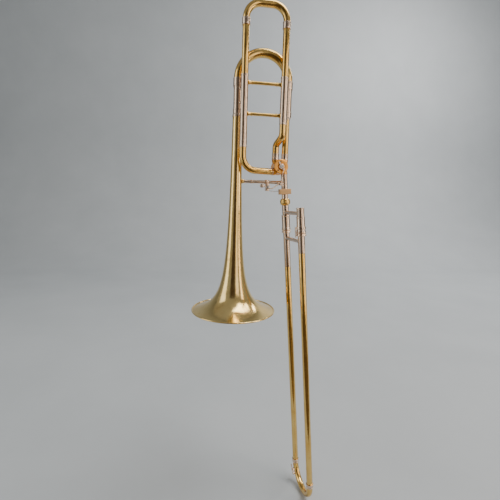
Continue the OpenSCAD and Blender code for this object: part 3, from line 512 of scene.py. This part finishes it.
piece("f_crook", pipe(path, F_R, F_R - 0.5, 44), "f_slide", "f_crook", "lacquered_brass")

for name, share in (("f_brace_upper", 0.177), ("f_brace_lower", 0.918)):
    z = F_TOP - share * F_RIGHT_LEN
    a, b = left + F_SLEEVE_R, right - F_SLEEVE_R
    n = 28
    path = [Vector((a + (b - a) * i / n, -F_OFF, z)) for i in range(n + 1)]
    flare = lambda s: 3.9 + 1.1 * math.exp(-min(s, 1 - s) * 26)
    shapes = [rod(path, flare, 32)]
    for x, way in ((left, 0), (right, 180)):
        shapes.append(moved(saddle(F_SLEEVE_R, 38, 5.6, 0.9), at(x, -F_OFF, z) @ turn("Z", way)))
    for share_x in (0.12, 0.88):
        place = at(a + (b - a) * share_x, -F_OFF, z) @ turn("Y", 90)
        shapes.append(moved(ring(4.9, 3.6, -1, 1, 0.3, 40), place))
    piece(name, joined(*shapes), "bell_section", name, "lacquered_brass")

RUN_Z, BEND, ELBOW, ELBOW_LEN = VALVE_Z - PORT, 34.0, 30.0, 8.0
run_end = VALVE_X - PORT_END - ELBOW_LEN
run_turn = math.atan2(F_OFF, run_end - F_X)
run_len = math.hypot(run_end - F_X, F_OFF)
tangent = ELBOW * math.tan(run_turn / 2)
way = Vector((math.cos(run_turn), math.sin(run_turn), 0))
corner_at = Vector((F_X, -F_OFF, RUN_Z))
path = [corner_at + Z * (F_LOW[0] - 8 - RUN_Z), corner_at + Z * (BEND + 1)]
path += arc(corner_at + way * BEND + Z * BEND, BEND, 180, 270, way, Z, 30)
path += [corner_at + way * (run_len - tangent - 0.5)]
side_way = Vector((math.sin(run_turn), -math.cos(run_turn), 0))
path += arc(corner_at + way * (run_len - tangent) + side_way * ELBOW, ELBOW, 0, math.degrees(run_turn),
            -side_way, way, 8)[1:]
path += [Vector((run_end + ELBOW_LEN, 0, RUN_Z))]
piece("f_down_bend", pipe(path, F_R, F_R - 0.5, 44), "bell_section", "f_down_bend", "lacquered_brass")

s_top, s_bot = F_LOW[1] - 8, VALVE_Z + PORT_END + 3
S_BEND, S_TURN = 14.0, math.radians(58)
s_from = F_LOW[1] - 31
s_dx = VALVE_X - PORT - right
s_off = math.hypot(s_dx, F_OFF)
s_side, s_drop = S_BEND * (1 - math.cos(S_TURN)), S_BEND * math.sin(S_TURN)
s_end = s_from - 2 * s_drop - (s_off - 2 * s_side) / math.tan(S_TURN)
way = Vector((s_dx, F_OFF, 0)).normalized()
start = Vector((right, -F_OFF, s_from))
path = [start + Z * (s_top - s_from), start + Z] + arc(start + way * S_BEND, S_BEND, 180, 238, way, Z, 18)
low_end = Vector((VALVE_X - PORT, 0, s_end))
path += arc(low_end - way * S_BEND, S_BEND, 58, 0, way, Z, 18) + [low_end - Z, low_end - Z * (s_end - s_bot)]
piece("f_s_bend", pipe(path, F_R, F_R - 0.5, 44), "bell_section", "f_s_bend", "lacquered_brass")

posts = []
for i, x in enumerate(F_SIDES):
    main = Vector((i * SPAN, 0, 0))
    reach = Vector((x, -F_OFF, 0)) - main
    heading = math.degrees(math.atan2(reach.y, reach.x))
    for z in (FOOT_TOP + 13, MAIN_TOP - 7):
        a, b = MAIN_R, reach.length - F_SLEEVE_R
        line = [Vector((a + (b - a) * k / 10, 0, 0)) for k in range(11)]
        waist = lambda s: 2.1 + 0.9 * (abs(2 * s - 1)) ** 3
        posts.append(moved(joined(rod(line, waist, 24), saddle(MAIN_R, 19, 3.4, 0.5),
                                  moved(saddle(F_SLEEVE_R, 21, 3.4, 0.5),
                                        at(reach.length, 0, 0) @ turn("Z", 180))),
                           at(main.x, 0, z) @ turn("Z", heading)))
piece("wrap_posts", joined(*posts), "bell_section", "wrap_posts", "nickel_silver")

# ------------------------ valve

CASE, CASE_R, ROTOR_R = 15.0, 17.65, 16.0
shell = [(16.05, -CASE), (CASE_R, -CASE), (CASE_R, -CASE + 3), (CASE_R - 0.5, -CASE + 3.4),
         (CASE_R - 0.5, CASE - 3.4), (CASE_R, CASE - 3), (CASE_R, CASE), (16.05, CASE)]
shapes = [revolved(softened(shell, 0.3), 96)]
# the four knuckles, each a short bend from the casing wall to its tube
for cx, cy, from_a in ((0, PORT_END, -30), (0, PORT_END, 180), (0, -PORT_END, 0), (-PORT_END, 0, 270)):
    shapes.append(pipe(arc((cx, cy, 0), PORT, from_a, from_a + 30, X, Y, 10), F_R + 0.5, F_R - 0.5, 44))
piece("valve_casing", joined(*shapes), "bell_section", "valve_casing", "gold_brass", VALVE)
plate = [(4.05, CASE), (CASE_R, CASE), (CASE_R, CASE + 2.2), (CASE_R - 1.2, CASE + 3), (9.4, CASE + 3),
         (8.6, CASE + 2.6), (7.4, CASE + 3), (7, CASE + 4.6), (6.6, CASE + 5), (4.05, CASE + 5)]
piece("valve_front_plate", revolved(softened(plate, 0.25), 96), "bell_section", "valve_front_plate",
      "gold_brass", VALVE)
cap = [(0.001, -CASE - 5), (11, -CASE - 5), (12, -CASE - 4.4), (16.8, -CASE - 4.4), (18.45, -CASE - 3.4),
       (18.45, -CASE - 0.6), (17.9, -CASE), (4.05, -CASE), (4.05, -CASE - 3), (0.001, -CASE - 3)]
piece("valve_back_cap", revolved(softened(cap, 0.3), 96), "bell_section", "valve_back_cap", "gold_brass",
      VALVE)

half = [Vector((r * math.cos(a), r * math.sin(a), 0)) for r, sweep in ((16.4, 1), (9.2, -1))
        for a in [sweep * math.radians(-84 + 168 * k / 30) for k in range(31)]]
n = len(half)
low = [p + Z * (CASE + 3) for p in half]
high = [p + Z * (CASE + 4.9) for p in half]
faces = [tuple(range(n))[::-1], tuple(range(n, 2 * n))]
faces += [(i, (i + 1) % n, n + (i + 1) % n, n + i) for i in range(n)]
STOP = turn("Z", ARM_REST + 225)
piece("bumper_plate", (low + high, faces), "bell_section", "bumper_plate", "gold_brass", VALVE @ STOP,
      smooth=30)
corks = [moved(disc(2, 0, 3.4, 0.3, 32), STOP @ turn("Z", s * 66) @ at(12, 0, CASE + 5)) for s in (-1, 1)]
piece("bumper_corks", joined(*corks), "bell_section", "bumper_corks", "cork", VALVE)

spindle = [(0.001, -17.8), (4, -17.8), (4, -14.8), (ROTOR_R, -14.8), (ROTOR_R, 14.8), (4, 14.8), (4, 23.4),
           (0.001, 23.4)]
piece("rotor", revolved(softened(spindle, 0.2), 72), "valve_rotor", "rotor", "lacquered_brass", VALVE)
ARM_Z = 20.4
arm = turn("Z", ARM_REST)
shapes = [moved(ring(6.5, 4, ARM_Z, ARM_Z + 3, 0.4, 48), WORLD),
          moved(disc(2.8, ARM_Z, ARM_Z + 3, 0.4, 32), arm @ at(ARM_R, 0, 0)),
          moved(disc(1.5, ARM_Z + 2, ARM_Z + 6.7, 0.2, 32), arm @ at(ARM_R, 0, 0)),
          moved(disc(2.5, ARM_Z + 6.6, ARM_Z + 7.6, 0.4, 32), arm @ at(ARM_R, 0, 0)),
          moved(strap([(5.6, 0, ARM_Z + 1.5), (7, 0, ARM_Z + 1.5), (8.2, 0, ARM_Z + 1.5)], 4.4, 2.8,
                      (0, 1, 0)), arm), moved(strap([(-5.6, 0, ARM_Z + 1.5), (-9, 0, ARM_Z + 1.5),
                                                     (-13, 0, ARM_Z + 1.5)], 4, 2.8, (0, 1, 0)), arm)]
piece("stop_arm", joined(*shapes), "valve_rotor", "stop_arm", "nickel_silver", VALVE)
screw = revolved(softened([(0.001, 0), (4.4, 0), (4.4, 1.1), (3.6, 1.8), (0.001, 1.8)], 0.2), 48)
piece("stop_screw", screw, "valve_rotor", "stop_screw", "steel", VALVE @ at(0, 0, ARM_Z + 3))

# valve port ferrules
for name, x in (("valve_ferrule_gooseneck", SPAN), ("valve_ferrule_f", VALVE_X - PORT)):
    z = VALVE_Z + PORT_END
    p = [(F_R - 0.5, z), (F_R + 1.05, z), (F_R + 1.05, z + 2.4), (F_R + 0.6, z + 2.9), (F_R + 0.6, z + 12),
         (F_R + 1.05, z + 12.5), (F_R + 1.05, z + 15), (F_R, z + 15), (F_R, z + 3), (F_R - 0.5, z + 3)]
    piece(name, revolved(softened(p, 0.25), 56), "bell_section", "valve_ferrules", "nickel_silver",
          at(x, 0, 0))
run_ring = moved(ring(F_R + 1.05, F_R, run_end + tangent, run_end + ELBOW_LEN, 0.3),
                 at(0, 0, RUN_Z) @ turn("Y", 90))
piece("valve_ferrule_run", run_ring, "bell_section", "valve_ferrules", "nickel_silver")

# ------------------------ link rod and trigger

link_shapes = [ring(3, 1.56, -1.1, 1.1, 0.3, 36),
               rod([Vector((0, -y, 0)) for y in (2.4, 10, 26, LINK_LEN - 1.5)],
                   lambda s: 1.25 - 0.25 * math.sin(math.pi * s) ** 2, 20),
               moved(disc(2.4, -2.2, 2.2, 0.5, 36), at(0, -LINK_LEN, 0)),
               rod([Vector((0, -LINK_LEN, -z)) for z in (1.5, 5, 9.1)], lambda s: 1.0, 16)]
piece("link_rod", joined(*link_shapes), "link", "link_rod", "nickel_silver",
      Matrix.Translation(LINK) @ turn("Y", math.degrees(LINK_TILT)) @ turn("X", 90))

# the trigger is drawn in its own plane: x to the right, y up, z towards the front
pin = (LINK.x - LINK_LEN * math.sin(LINK_TILT) - TRIGGER.x,
       LINK.z - LINK_LEN * math.cos(LINK_TILT) - TRIGGER.z)
fork_dir = math.atan2(pin[1], pin[0]) - math.asin(SLOT_RISE / math.hypot(*pin))
slot_from = math.sqrt(math.hypot(*pin) ** 2 - SLOT_RISE ** 2)
along = Vector((math.cos(fork_dir), math.sin(fork_dir), 0))
over = Vector((-math.sin(fork_dir), math.cos(fork_dir), 0))


def fork_point(out, side):
    return along * (slot_from + out) + over * (SLOT_RISE + side)


T = Matrix.Translation(TRIGGER) @ turn("X", 90)
root = fork_point(-3.4, 0)
knob_at = Vector((-15.1, 2.7, 0))
shapes = [ring(4.8, 2.06, -6, 2, 0.5, 44), strap([Vector((1.2, -3.5, 0)), Vector((6, -3.6, 0)),
                                                  Vector((10.4, -3.3, 0)),
                                                  root * 0.45 + Vector((6.2, -1.7, 0)), root], 4, 2.6, Z),
          strap([Vector((-3.6, 0.6, 0)), knob_at * 0.6, knob_at * 0.9], 4, 2.6, Z),
          strap([fork_point(-2.9, -2.8), fork_point(-2.9, 2.8)], 4, 2.2, Z)]
for side in (-1, 1):
    shapes.append(strap([fork_point(x, side * 2.35) for x in (-3.6, 0, 4, 8.3)], 4, 1.25, Z))
piece("trigger_lever", joined(*shapes), "trigger", "trigger_lever", "nickel_silver", T)
knob = [(0.001, 2), (4.2, 2), (4.75, 2.7), (4.75, 5.2), (4.2, 6.3), (3.0, 6.9), (0.001, 7)]
knobs = [moved(revolved(softened(knob, 0.3), 44), at(*knob_at)),
         moved(revolved(softened([(r, -z) for r, z in knob], 0.3), 44), at(*knob_at))]
piece("trigger_paddle", joined(*knobs), "trigger", "trigger_paddle", "nickel_silver", T)

saddle_body = block((TRIGGER.x - 4, -12.6, TRIGGER.z - 9), (TRIGGER.x + 4, 4.4, BRACE_Z - 3.4), 0.8)
wrap = moved(ring(5.6, 4.4, -5, 5, 0.4, 48), at(TRIGGER.x, 0, BRACE_Z) @ turn("Y", 90))
piece("trigger_saddle", joined(saddle_body, wrap), "bell_section", "trigger_saddle", "lacquered_brass",
      material=ROSE)
screw_pin = joined(disc(2, 0, 26, 0.3, 32), disc(3.2, 25.4, 26.6, 0.3, 32))
piece("trigger_pin", screw_pin, "bell_section", "trigger_pin", "steel",
      at(TRIGGER.x, 4, TRIGGER.z) @ turn("X", 90))
BLOCK_HALF, BLOCK_DOWN, SPRING_R = 14.75, 43.25, 44.0
block_x = NECK.x + BLOCK_DOWN * math.sin(math.radians(SPLAY)) - BLOCK_HALF
spring_span = block_x - TRIGGER.x - 4 + 1.2
half_turn = math.degrees(math.asin(spring_span / 2 / SPRING_R))
centre = Vector((TRIGGER.x + 3.4 + spring_span / 2, -8,
                 TRIGGER.z - 7 + math.sqrt(SPRING_R ** 2 - spring_span ** 2 / 4)))
wire = rod(arc(centre, SPRING_R, 270 - half_turn, 270 + half_turn, X, Z, 24), lambda s: 0.8, 16)
piece("trigger_spring", wire, "bell_section", "trigger_spring", "steel")

# ------------------------ bell brace and receiver

brace_end = NECK.x + (NECK.z - BRACE_Z) * math.tan(math.radians(SPLAY))
r0 = bell_r(BRACE_Z)
line = [Vector((r0 - 0.6 + (brace_end - F_R - r0 + 1) * k / 60, 0, BRACE_Z)) for k in range(61)]
thick = lambda s: 4.15 + 0.2 * math.exp(-min(s, 1 - s) * 30)
collar_line = softened([(3.9, 36), (4.8, 36.2), (5.15, 37), (5.15, 39), (4.8, 39.8), (3.9, 40)], 0.2)
collar = moved(revolved(collar_line, 48), at(0, 0, BRACE_Z) @ turn("Y", 90))
piece("bell_brace", joined(rod(line, thick, 40), collar), "bell_section", "bell_brace", "nickel_silver")
cuff = [(4.4, 0), (6.5, 0), (6.3, 1.2), (5.2, 2.6), (4.75, 5.2), (4.4, 5.4)]
left_cuff = moved(revolved(softened(cuff, 0.2), 48), at(r0 - 0.4, 0, BRACE_Z) @ turn("Y", 90))
right_cuff = moved(revolved(softened([(r, -z) for r, z in cuff], 0.2), 48),
                   at(brace_end - F_R + 0.3, 0, BRACE_Z) @ turn("Y", 90))
feet = joined(left_cuff, right_cuff)
piece("brace_flanges", feet, "bell_section", "brace_flanges", "lacquered_brass")

NUT_TOP, NUT_END = 61.0, 77.0
tube = [(F_R - 0.5, 0.4), (F_R, 0.4), (F_R, -NUT_TOP), (10, -NUT_TOP), (10, -NUT_TOP - 6),
        (F_R - 0.5, -NUT_TOP - 6)]
piece("receiver_tube", revolved(softened(tube, 0.15), 64), "bell_section", "receiver_tube", "nickel_silver",
      SLIDE)
piece("receiver_block", block((-BLOCK_HALF, -9.6, -50), (BLOCK_HALF, 9.6, -36.5), 1.2), "bell_section",
      "receiver_block", "cream_block", SLIDE @ turn("Z", TURN))
nut_r = 12.8
shape = [(7.6, -NUT_END), (nut_r - 3.2, -NUT_END), (nut_r - 1.3, -NUT_END + 1.5),
         (nut_r - 0.4, -NUT_END + 3.8), (nut_r, -NUT_END + 6.2), (nut_r, -NUT_TOP - 6.2),
         (nut_r - 0.4, -NUT_TOP - 3.8), (nut_r - 1.3, -NUT_TOP - 1.5), (nut_r - 3.0, -NUT_TOP),
         (10.05, -NUT_TOP), (10.05, -NUT_END + 3.2), (7.6, -NUT_END + 3.2)]
rows, profile = [], softened(shape, 0.8, 4)
for i in range(160):
    a = 2 * math.pi * i / 160
    row = []
    for r, z in profile:
        mid = max(0.0, 1 - abs((z + (NUT_TOP + NUT_END) / 2) / 4.6) ** 4)
        cut = 0.42 * mid * (0.5 - 0.5 * math.cos(40 * a)) if r > nut_r - 0.3 else 0.0
        row.append(Vector(((r - cut) * math.cos(a), (r - cut) * math.sin(a), z)))
    rows.append(row)
piece("lock_nut", grid(rows, True, True), "nut", "lock_nut", "lacquered_brass", SLIDE)

# ------------------------ inner slide

OUT_TOP, FLANGE_T, OUT_END = 147.4, 138.8, 806.8
BARREL = (103.0, 138.5)
p = [(6.9, -27), (7.1, -27), (7.1, -67.4), (9.4, -67.4), (9.4, -71.4), (7.2, -71.8), (7.2, -77.4),
     (8.2, -77.4), (8.5, -78), (8.5, -BARREL[0]), (6.9, -BARREL[0])]
piece("tenon", revolved(softened(p, 0.15), 64), "inner_slide", "tenon", "nickel_silver", SLIDE)
for frame_m, side, barrel_r in ((SLIDE, "bell_side", 10.5), (MOUTH, "mouth_side", 10.1)):
    piece("inner_tube_" + side, ring(INNER_R, 6.9, -OUT_END + 6, -BARREL[0], 0.1), "inner_slide",
          "inner_tubes", "nickel_silver", frame_m)
    piece("stocking_" + side, ring(7.44, INNER_R, -OUT_END + 6, -OUT_END + 91, 0.1), "inner_slide",
          "stockings", "nickel_silver", frame_m)
    b0, b1 = -BARREL[0], -BARREL[1]
    p = [(INNER_R, b0), (barrel_r + 0.5, b0), (barrel_r + 0.5, b0 - 2.6), (barrel_r - 0.3, b0 - 3.4),
         (barrel_r - 0.15, b0 - 6), (barrel_r - 0.15, b1 + 5), (barrel_r + 0.2, b1 + 3.6),
         (barrel_r + 0.8, b1 + 3), (barrel_r + 0.8, b1), (INNER_R + 1.4, b1), (INNER_R + 1.4, b0 - 5),
         (INNER_R, b0 - 5)]
    piece("cork_barrel_" + side, revolved(softened(p, 0.3), 72), "inner_slide",
          "cork_barrel_bell" if side == "bell_side" else "cork_barrel_mouth", "nickel_silver", frame_m)
    piece("cork_ring_" + side, ring(INNER_R + 1.4, INNER_R, b0 - 19, b0 - 5, 0.2), "inner_slide",
          "cork_rings", "cork", frame_m)


def cross_brace(name, t, r_left, r_right, body, foot_h):
    """A waisted bar with long oval feet wrapped on both slide tubes."""
    n = 40
    a, b = r_left, SLIDE_SPAN - r_right
    line = [Vector((a + (b - a) * k / n, 0, -t)) for k in range(n + 1)]
    bar = rod(line, lambda s: 4.55 + 0.6 * math.exp(-min(s, 1 - s) * 22), 36)
    feet = [moved(saddle(r_left, 62, foot_h, 0.88), at(0, 0, -t)),
            moved(saddle(r_right, 62, foot_h, 0.88), at(SLIDE_SPAN, 0, -t) @ turn("Z", 180))]
    piece(name, joined(bar, *feet), body, name, "nickel_silver", SLIDE)


cross_brace("inner_brace", 96, 8.5, 9.0, "inner_slide", 5.9)
cross_brace("outer_brace", 162, GRIP_R, GRIP_R, "outer_slide", 5.9)

LIP_T = 82.5
p = [(6.5, -LIP_T), (9.65, -LIP_T), (9.65, -LIP_T - 2), (9.0, -LIP_T - 2.6), (9.0, -BARREL[0]),
     (6.08, -BARREL[0]), (6.5, -LIP_T - 4)]
piece("mouthpiece_receiver", revolved(softened(p, 0.3), 64), "inner_slide", "mouthpiece_receiver",
      "nickel_silver", MOUTH)
piece("leadpipe", ring(6.9, 5.75, -BARREL[0] - 150, -BARREL[0], 0.1), "inner_slide", "leadpipe",
      "lacquered_brass", MOUTH)

lock = joined(ring(11.75, 10.16, -132, -126, 0.35, 64), block((-2, -14.6, -150.4), (2, -12.85, -126), 0.4),
              block((-2, -13.2, -131.9), (2, -11.3, -126.1), 0.2))
piece("slide_lock", lock, "lock_ring", "slide_lock", "nickel_silver", MOUTH)

# ------------------------ outer slide

for frame_m, side, grip in ((SLIDE, "bell_side", 90), (MOUTH, "mouth_side", 41)):
    piece("outer_tube_" + side, ring(OUTER_R, 7.5, -OUT_END, -FLANGE_T, 0.1), "outer_slide", "outer_tubes",
          "lacquered_brass", frame_m)
    p = [(OUTER_R, -OUT_TOP - grip), (GRIP_R - 0.15, -OUT_TOP - grip), (GRIP_R - 0.02, -OUT_TOP - grip + 1.2),
         (GRIP_R - 0.02, -OUT_TOP), (OUTER_R, -OUT_TOP)]
    piece("grip_sleeve_" + side, revolved(p, 64), "outer_slide", "grip_sleeves", "nickel_silver", frame_m)
    p = [(OUTER_R, -OUT_TOP), (11.9, -OUT_TOP), (12.2, -OUT_TOP + 1.3), (11.8, -OUT_TOP + 2.6),
         (10.7, -OUT_TOP + 3.3), (10.7, -FLANGE_T - 3.3), (11.8, -FLANGE_T - 2.6), (12.2, -FLANGE_T - 1.3),
         (11.9, -FLANGE_T), (OUTER_R, -FLANGE_T)]
    shapes = [revolved(softened(p, 0.45), 72)]
    if side == "mouth_side":
        shapes.append(moved(disc(1.2, 0, 4.4, 0.3, 20),
                            turn("Z", -140) @ at(10.2, 0, -FLANGE_T - 4.3) @ turn("Y", 90)))
    piece("outer_flange_" + side, joined(*shapes), "outer_slide", "outer_flanges", "nickel_silver", frame_m,
          material=ROSE)
    p0 = -BOW_Z
    p = [(OUTER_R, p0), (OUTER_R + 1.0, p0), (OUTER_R + 1.0, p0 + 2.4), (OUTER_R + 0.55, p0 + 2.9),
         (OUTER_R + 0.7, p0 + 7.2), (OUTER_R + 1.6, p0 + 7.8), (OUTER_R + 1.6, p0 + 11), (OUTER_R, p0 + 11)]
    piece("bow_ferrule_" + side, revolved(softened(p, 0.3), 64), "outer_slide", "bow_ferrules",
          "nickel_silver", frame_m)
path = [Vector((0, 0, -OUT_END)), Vector((0, 0, -BOW_Z + 2))]
path += arc((BOW_R, 0, -BOW_Z), BOW_R, 180, 360, X, Z, 60)
path += [Vector((SLIDE_SPAN, 0, -BOW_Z + 2)), Vector((SLIDE_SPAN, 0, -OUT_END))]
piece("bow", pipe(path, OUTER_R, 7.2, 48), "outer_slide", "bow", "lacquered_brass", SLIDE)

KEY = SLIDE @ at(BOW_R * (1 - math.cos(math.radians(KEY_ANGLE))), 0,
                 -BOW_Z - BOW_R * math.sin(math.radians(KEY_ANGLE))) @ turn("Y", -KEY_ANGLE)
PIVOT_Y, NIPPLE = OUTER_R + 4, OUTER_R + 2.6
nipple_line = softened([(2, 6.8), (3.4, 6.8), (3.4, 8.6), (3.0, 9.2), (3.2, NIPPLE), (2, NIPPLE)], 0.2)
nipple = moved(revolved(nipple_line, 40), at(0, 0, -5) @ turn("X", 90))
ears = [block((s * 3.4 - 0.8, -PIVOT_Y - 1.6, 2), (s * 3.4 + 0.8, -7.2, 7), 0.35) for s in (-1, 1)]
piece("water_key_saddle", joined(nipple, *ears), "outer_slide", "water_key_saddle", "nickel_silver", KEY)
shapes = [moved(disc(1, -4.6, 4.6, 0.2, 24), at(0, -PIVOT_Y, 4.5) @ turn("Y", 90)),
          moved(disc(1.9, -2.2, 2.2, 0.3, 32), at(0, -PIVOT_Y, 4.5) @ turn("Y", 90)),
          strap([Vector((0, -PIVOT_Y - 1, -5)), Vector((0, -PIVOT_Y - 1, 4)), Vector((0, -PIVOT_Y - 1, 15))],
                3.2, 1.7, X), moved(disc(4, 0, 1.55, 0.3, 36), at(0, -NIPPLE - 1.22, -5) @ turn("X", 90)),
          moved(disc(3.6, 0, 1.7, 0.4, 36), at(0, -PIVOT_Y - 0.15, 15) @ turn("X", 90))]
piece("water_key_lever", joined(*shapes), "water_key", "water_key_lever", "nickel_silver", KEY)
piece("water_key_cork", disc(3.35, 0, 1.18, 0.2, 36), "water_key", "water_key_cork", "cork",
      KEY @ at(0, -NIPPLE - 0.01, -5) @ turn("X", 90))

# ------------------------ stage, camera and light, in metres


def card(name, centre, size, look, material):
    """A flat panel facing a point; part of the stage, used for the near-black cards of painted shade."""
    mesh = bpy.data.meshes.new(name)
    w, h = size[0] / 2, size[1] / 2
    mesh.from_pydata([(-w, -h, 0), (w, -h, 0), (w, h, 0), (-w, h, 0)], [], [(0, 1, 2, 3)])
    mesh.materials.append(material)
    obj = bpy.data.objects.new(name, mesh)
    bpy.context.scene.collection.objects.link(obj)
    obj.location = centre
    obj.rotation_mode = "QUATERNION"
    obj.rotation_quaternion = (Vector(look) - Vector(centre)).to_track_quat("Z", "Y")
    return obj


def lamp(name, centre, size, look, power, colour):
    data = bpy.data.lights.new(name, "AREA")
    data.shape = "RECTANGLE"
    data.size, data.size_y = size
    data.energy = power
    data.color = colour
    obj = bpy.data.objects.new(name, data)
    bpy.context.scene.collection.objects.link(obj)
    obj.location = centre
    obj.rotation_mode = "QUATERNION"
    obj.rotation_quaternion = (Vector(look) - Vector(centre)).to_track_quat("-Z", "Y")
    return obj


def sweep(name, low, front, back, bend, top, half):
    """Floor and wall in one sheet with a rounded corner; part of the stage."""
    line = [(front, low)] + [(back - bend + bend * math.sin(a), low + bend - bend * math.cos(a))
                             for a in [math.pi / 2 * k / 24 for k in range(25)]] + [(back, top)]
    points = [(x, y, z) for y, z in line for x in (-half, half)]
    mesh = bpy.data.meshes.new(name)
    mesh.from_pydata(points, [], [(2 * i, 2 * i + 1, 2 * i + 3, 2 * i + 2) for i in range(len(line) - 1)])
    for poly in mesh.polygons:
        poly.use_smooth = True
    mesh.materials.append(WALL)
    obj = bpy.data.objects.new(name, mesh)
    bpy.context.scene.collection.objects.link(obj)


floor_z = box_at_rest[0].z - 0.004
sweep("sweep", floor_z, -5.0, 4.6, 1.8, 7.0, 9.0)
# two near-black cards behind the camera, seen only in reflections: painted shade
card("painted_shade_flag", (-0.75, -3.2, 0.3), (2.3, 5.0), (0.0, 0, 0.2), SHADE_CARD)
card("painted_shade_floor", (0.1, -1.85, box_at_rest[0].z - 0.002), (2.6, 3.1), (0.1, -1.85, 5), SHADE_CARD)

lamp("top_lamp", (1.9, -0.2, 4.0), (3.2, 2.6), (1.0, 1.0, 0.0), 165, (1.0, 0.985, 0.97))
lamp("wall_lamp", (3.2, 2.2, 3.0), (1.4, 1.4), (2.2, 4.6, 0.8), 85, (1.0, 0.97, 0.95))
lamp("warm_strip", (2.3, -1.25, 0.4), (0.75, 2.8), (0.1, 0, 0.2), 24, (1.0, 0.80, 0.62))
lamp("front_fill", (1.2, -2.6, 0.4), (1.1, 2.6), (0.05, 0, 0.2), 12, (1.0, 0.84, 0.68))
lamp("left_panel", (-2.7, -0.5, 0.8), (1.5, 3.0), (0, 0, 0.2), 24, (1.0, 0.99, 0.93))

world = bpy.data.worlds.new("studio")
world.use_nodes = True
world.node_tree.nodes["Background"].inputs["Color"].default_value = (0.58, 0.59, 0.58, 1)
world.node_tree.nodes["Background"].inputs["Strength"].default_value = 0.46
bpy.context.scene.world = world

CAMERA_AT, FOCAL_MM, SENSOR_MM = (-0.08585, -0.85525, 0.28250), 24.46, 36
camera_data = bpy.data.cameras.new("camera")
camera_data.sensor_width = SENSOR_MM
camera_data.lens = FOCAL_MM
camera = bpy.data.objects.new("camera", camera_data)
bpy.context.scene.collection.objects.link(camera)
right_way, up_way, ahead = (Vector((0.98950, -0.14141, 0.02981)), Vector((-0.00907, 0.14512, 0.98937)),
                            Vector((0.14424, 0.97926, -0.14231)))
camera.matrix_world = Matrix.Translation(CAMERA_AT) @ Matrix(
    (right_way, up_way, -ahead)).transposed().to_4x4()
bpy.context.scene.camera = camera
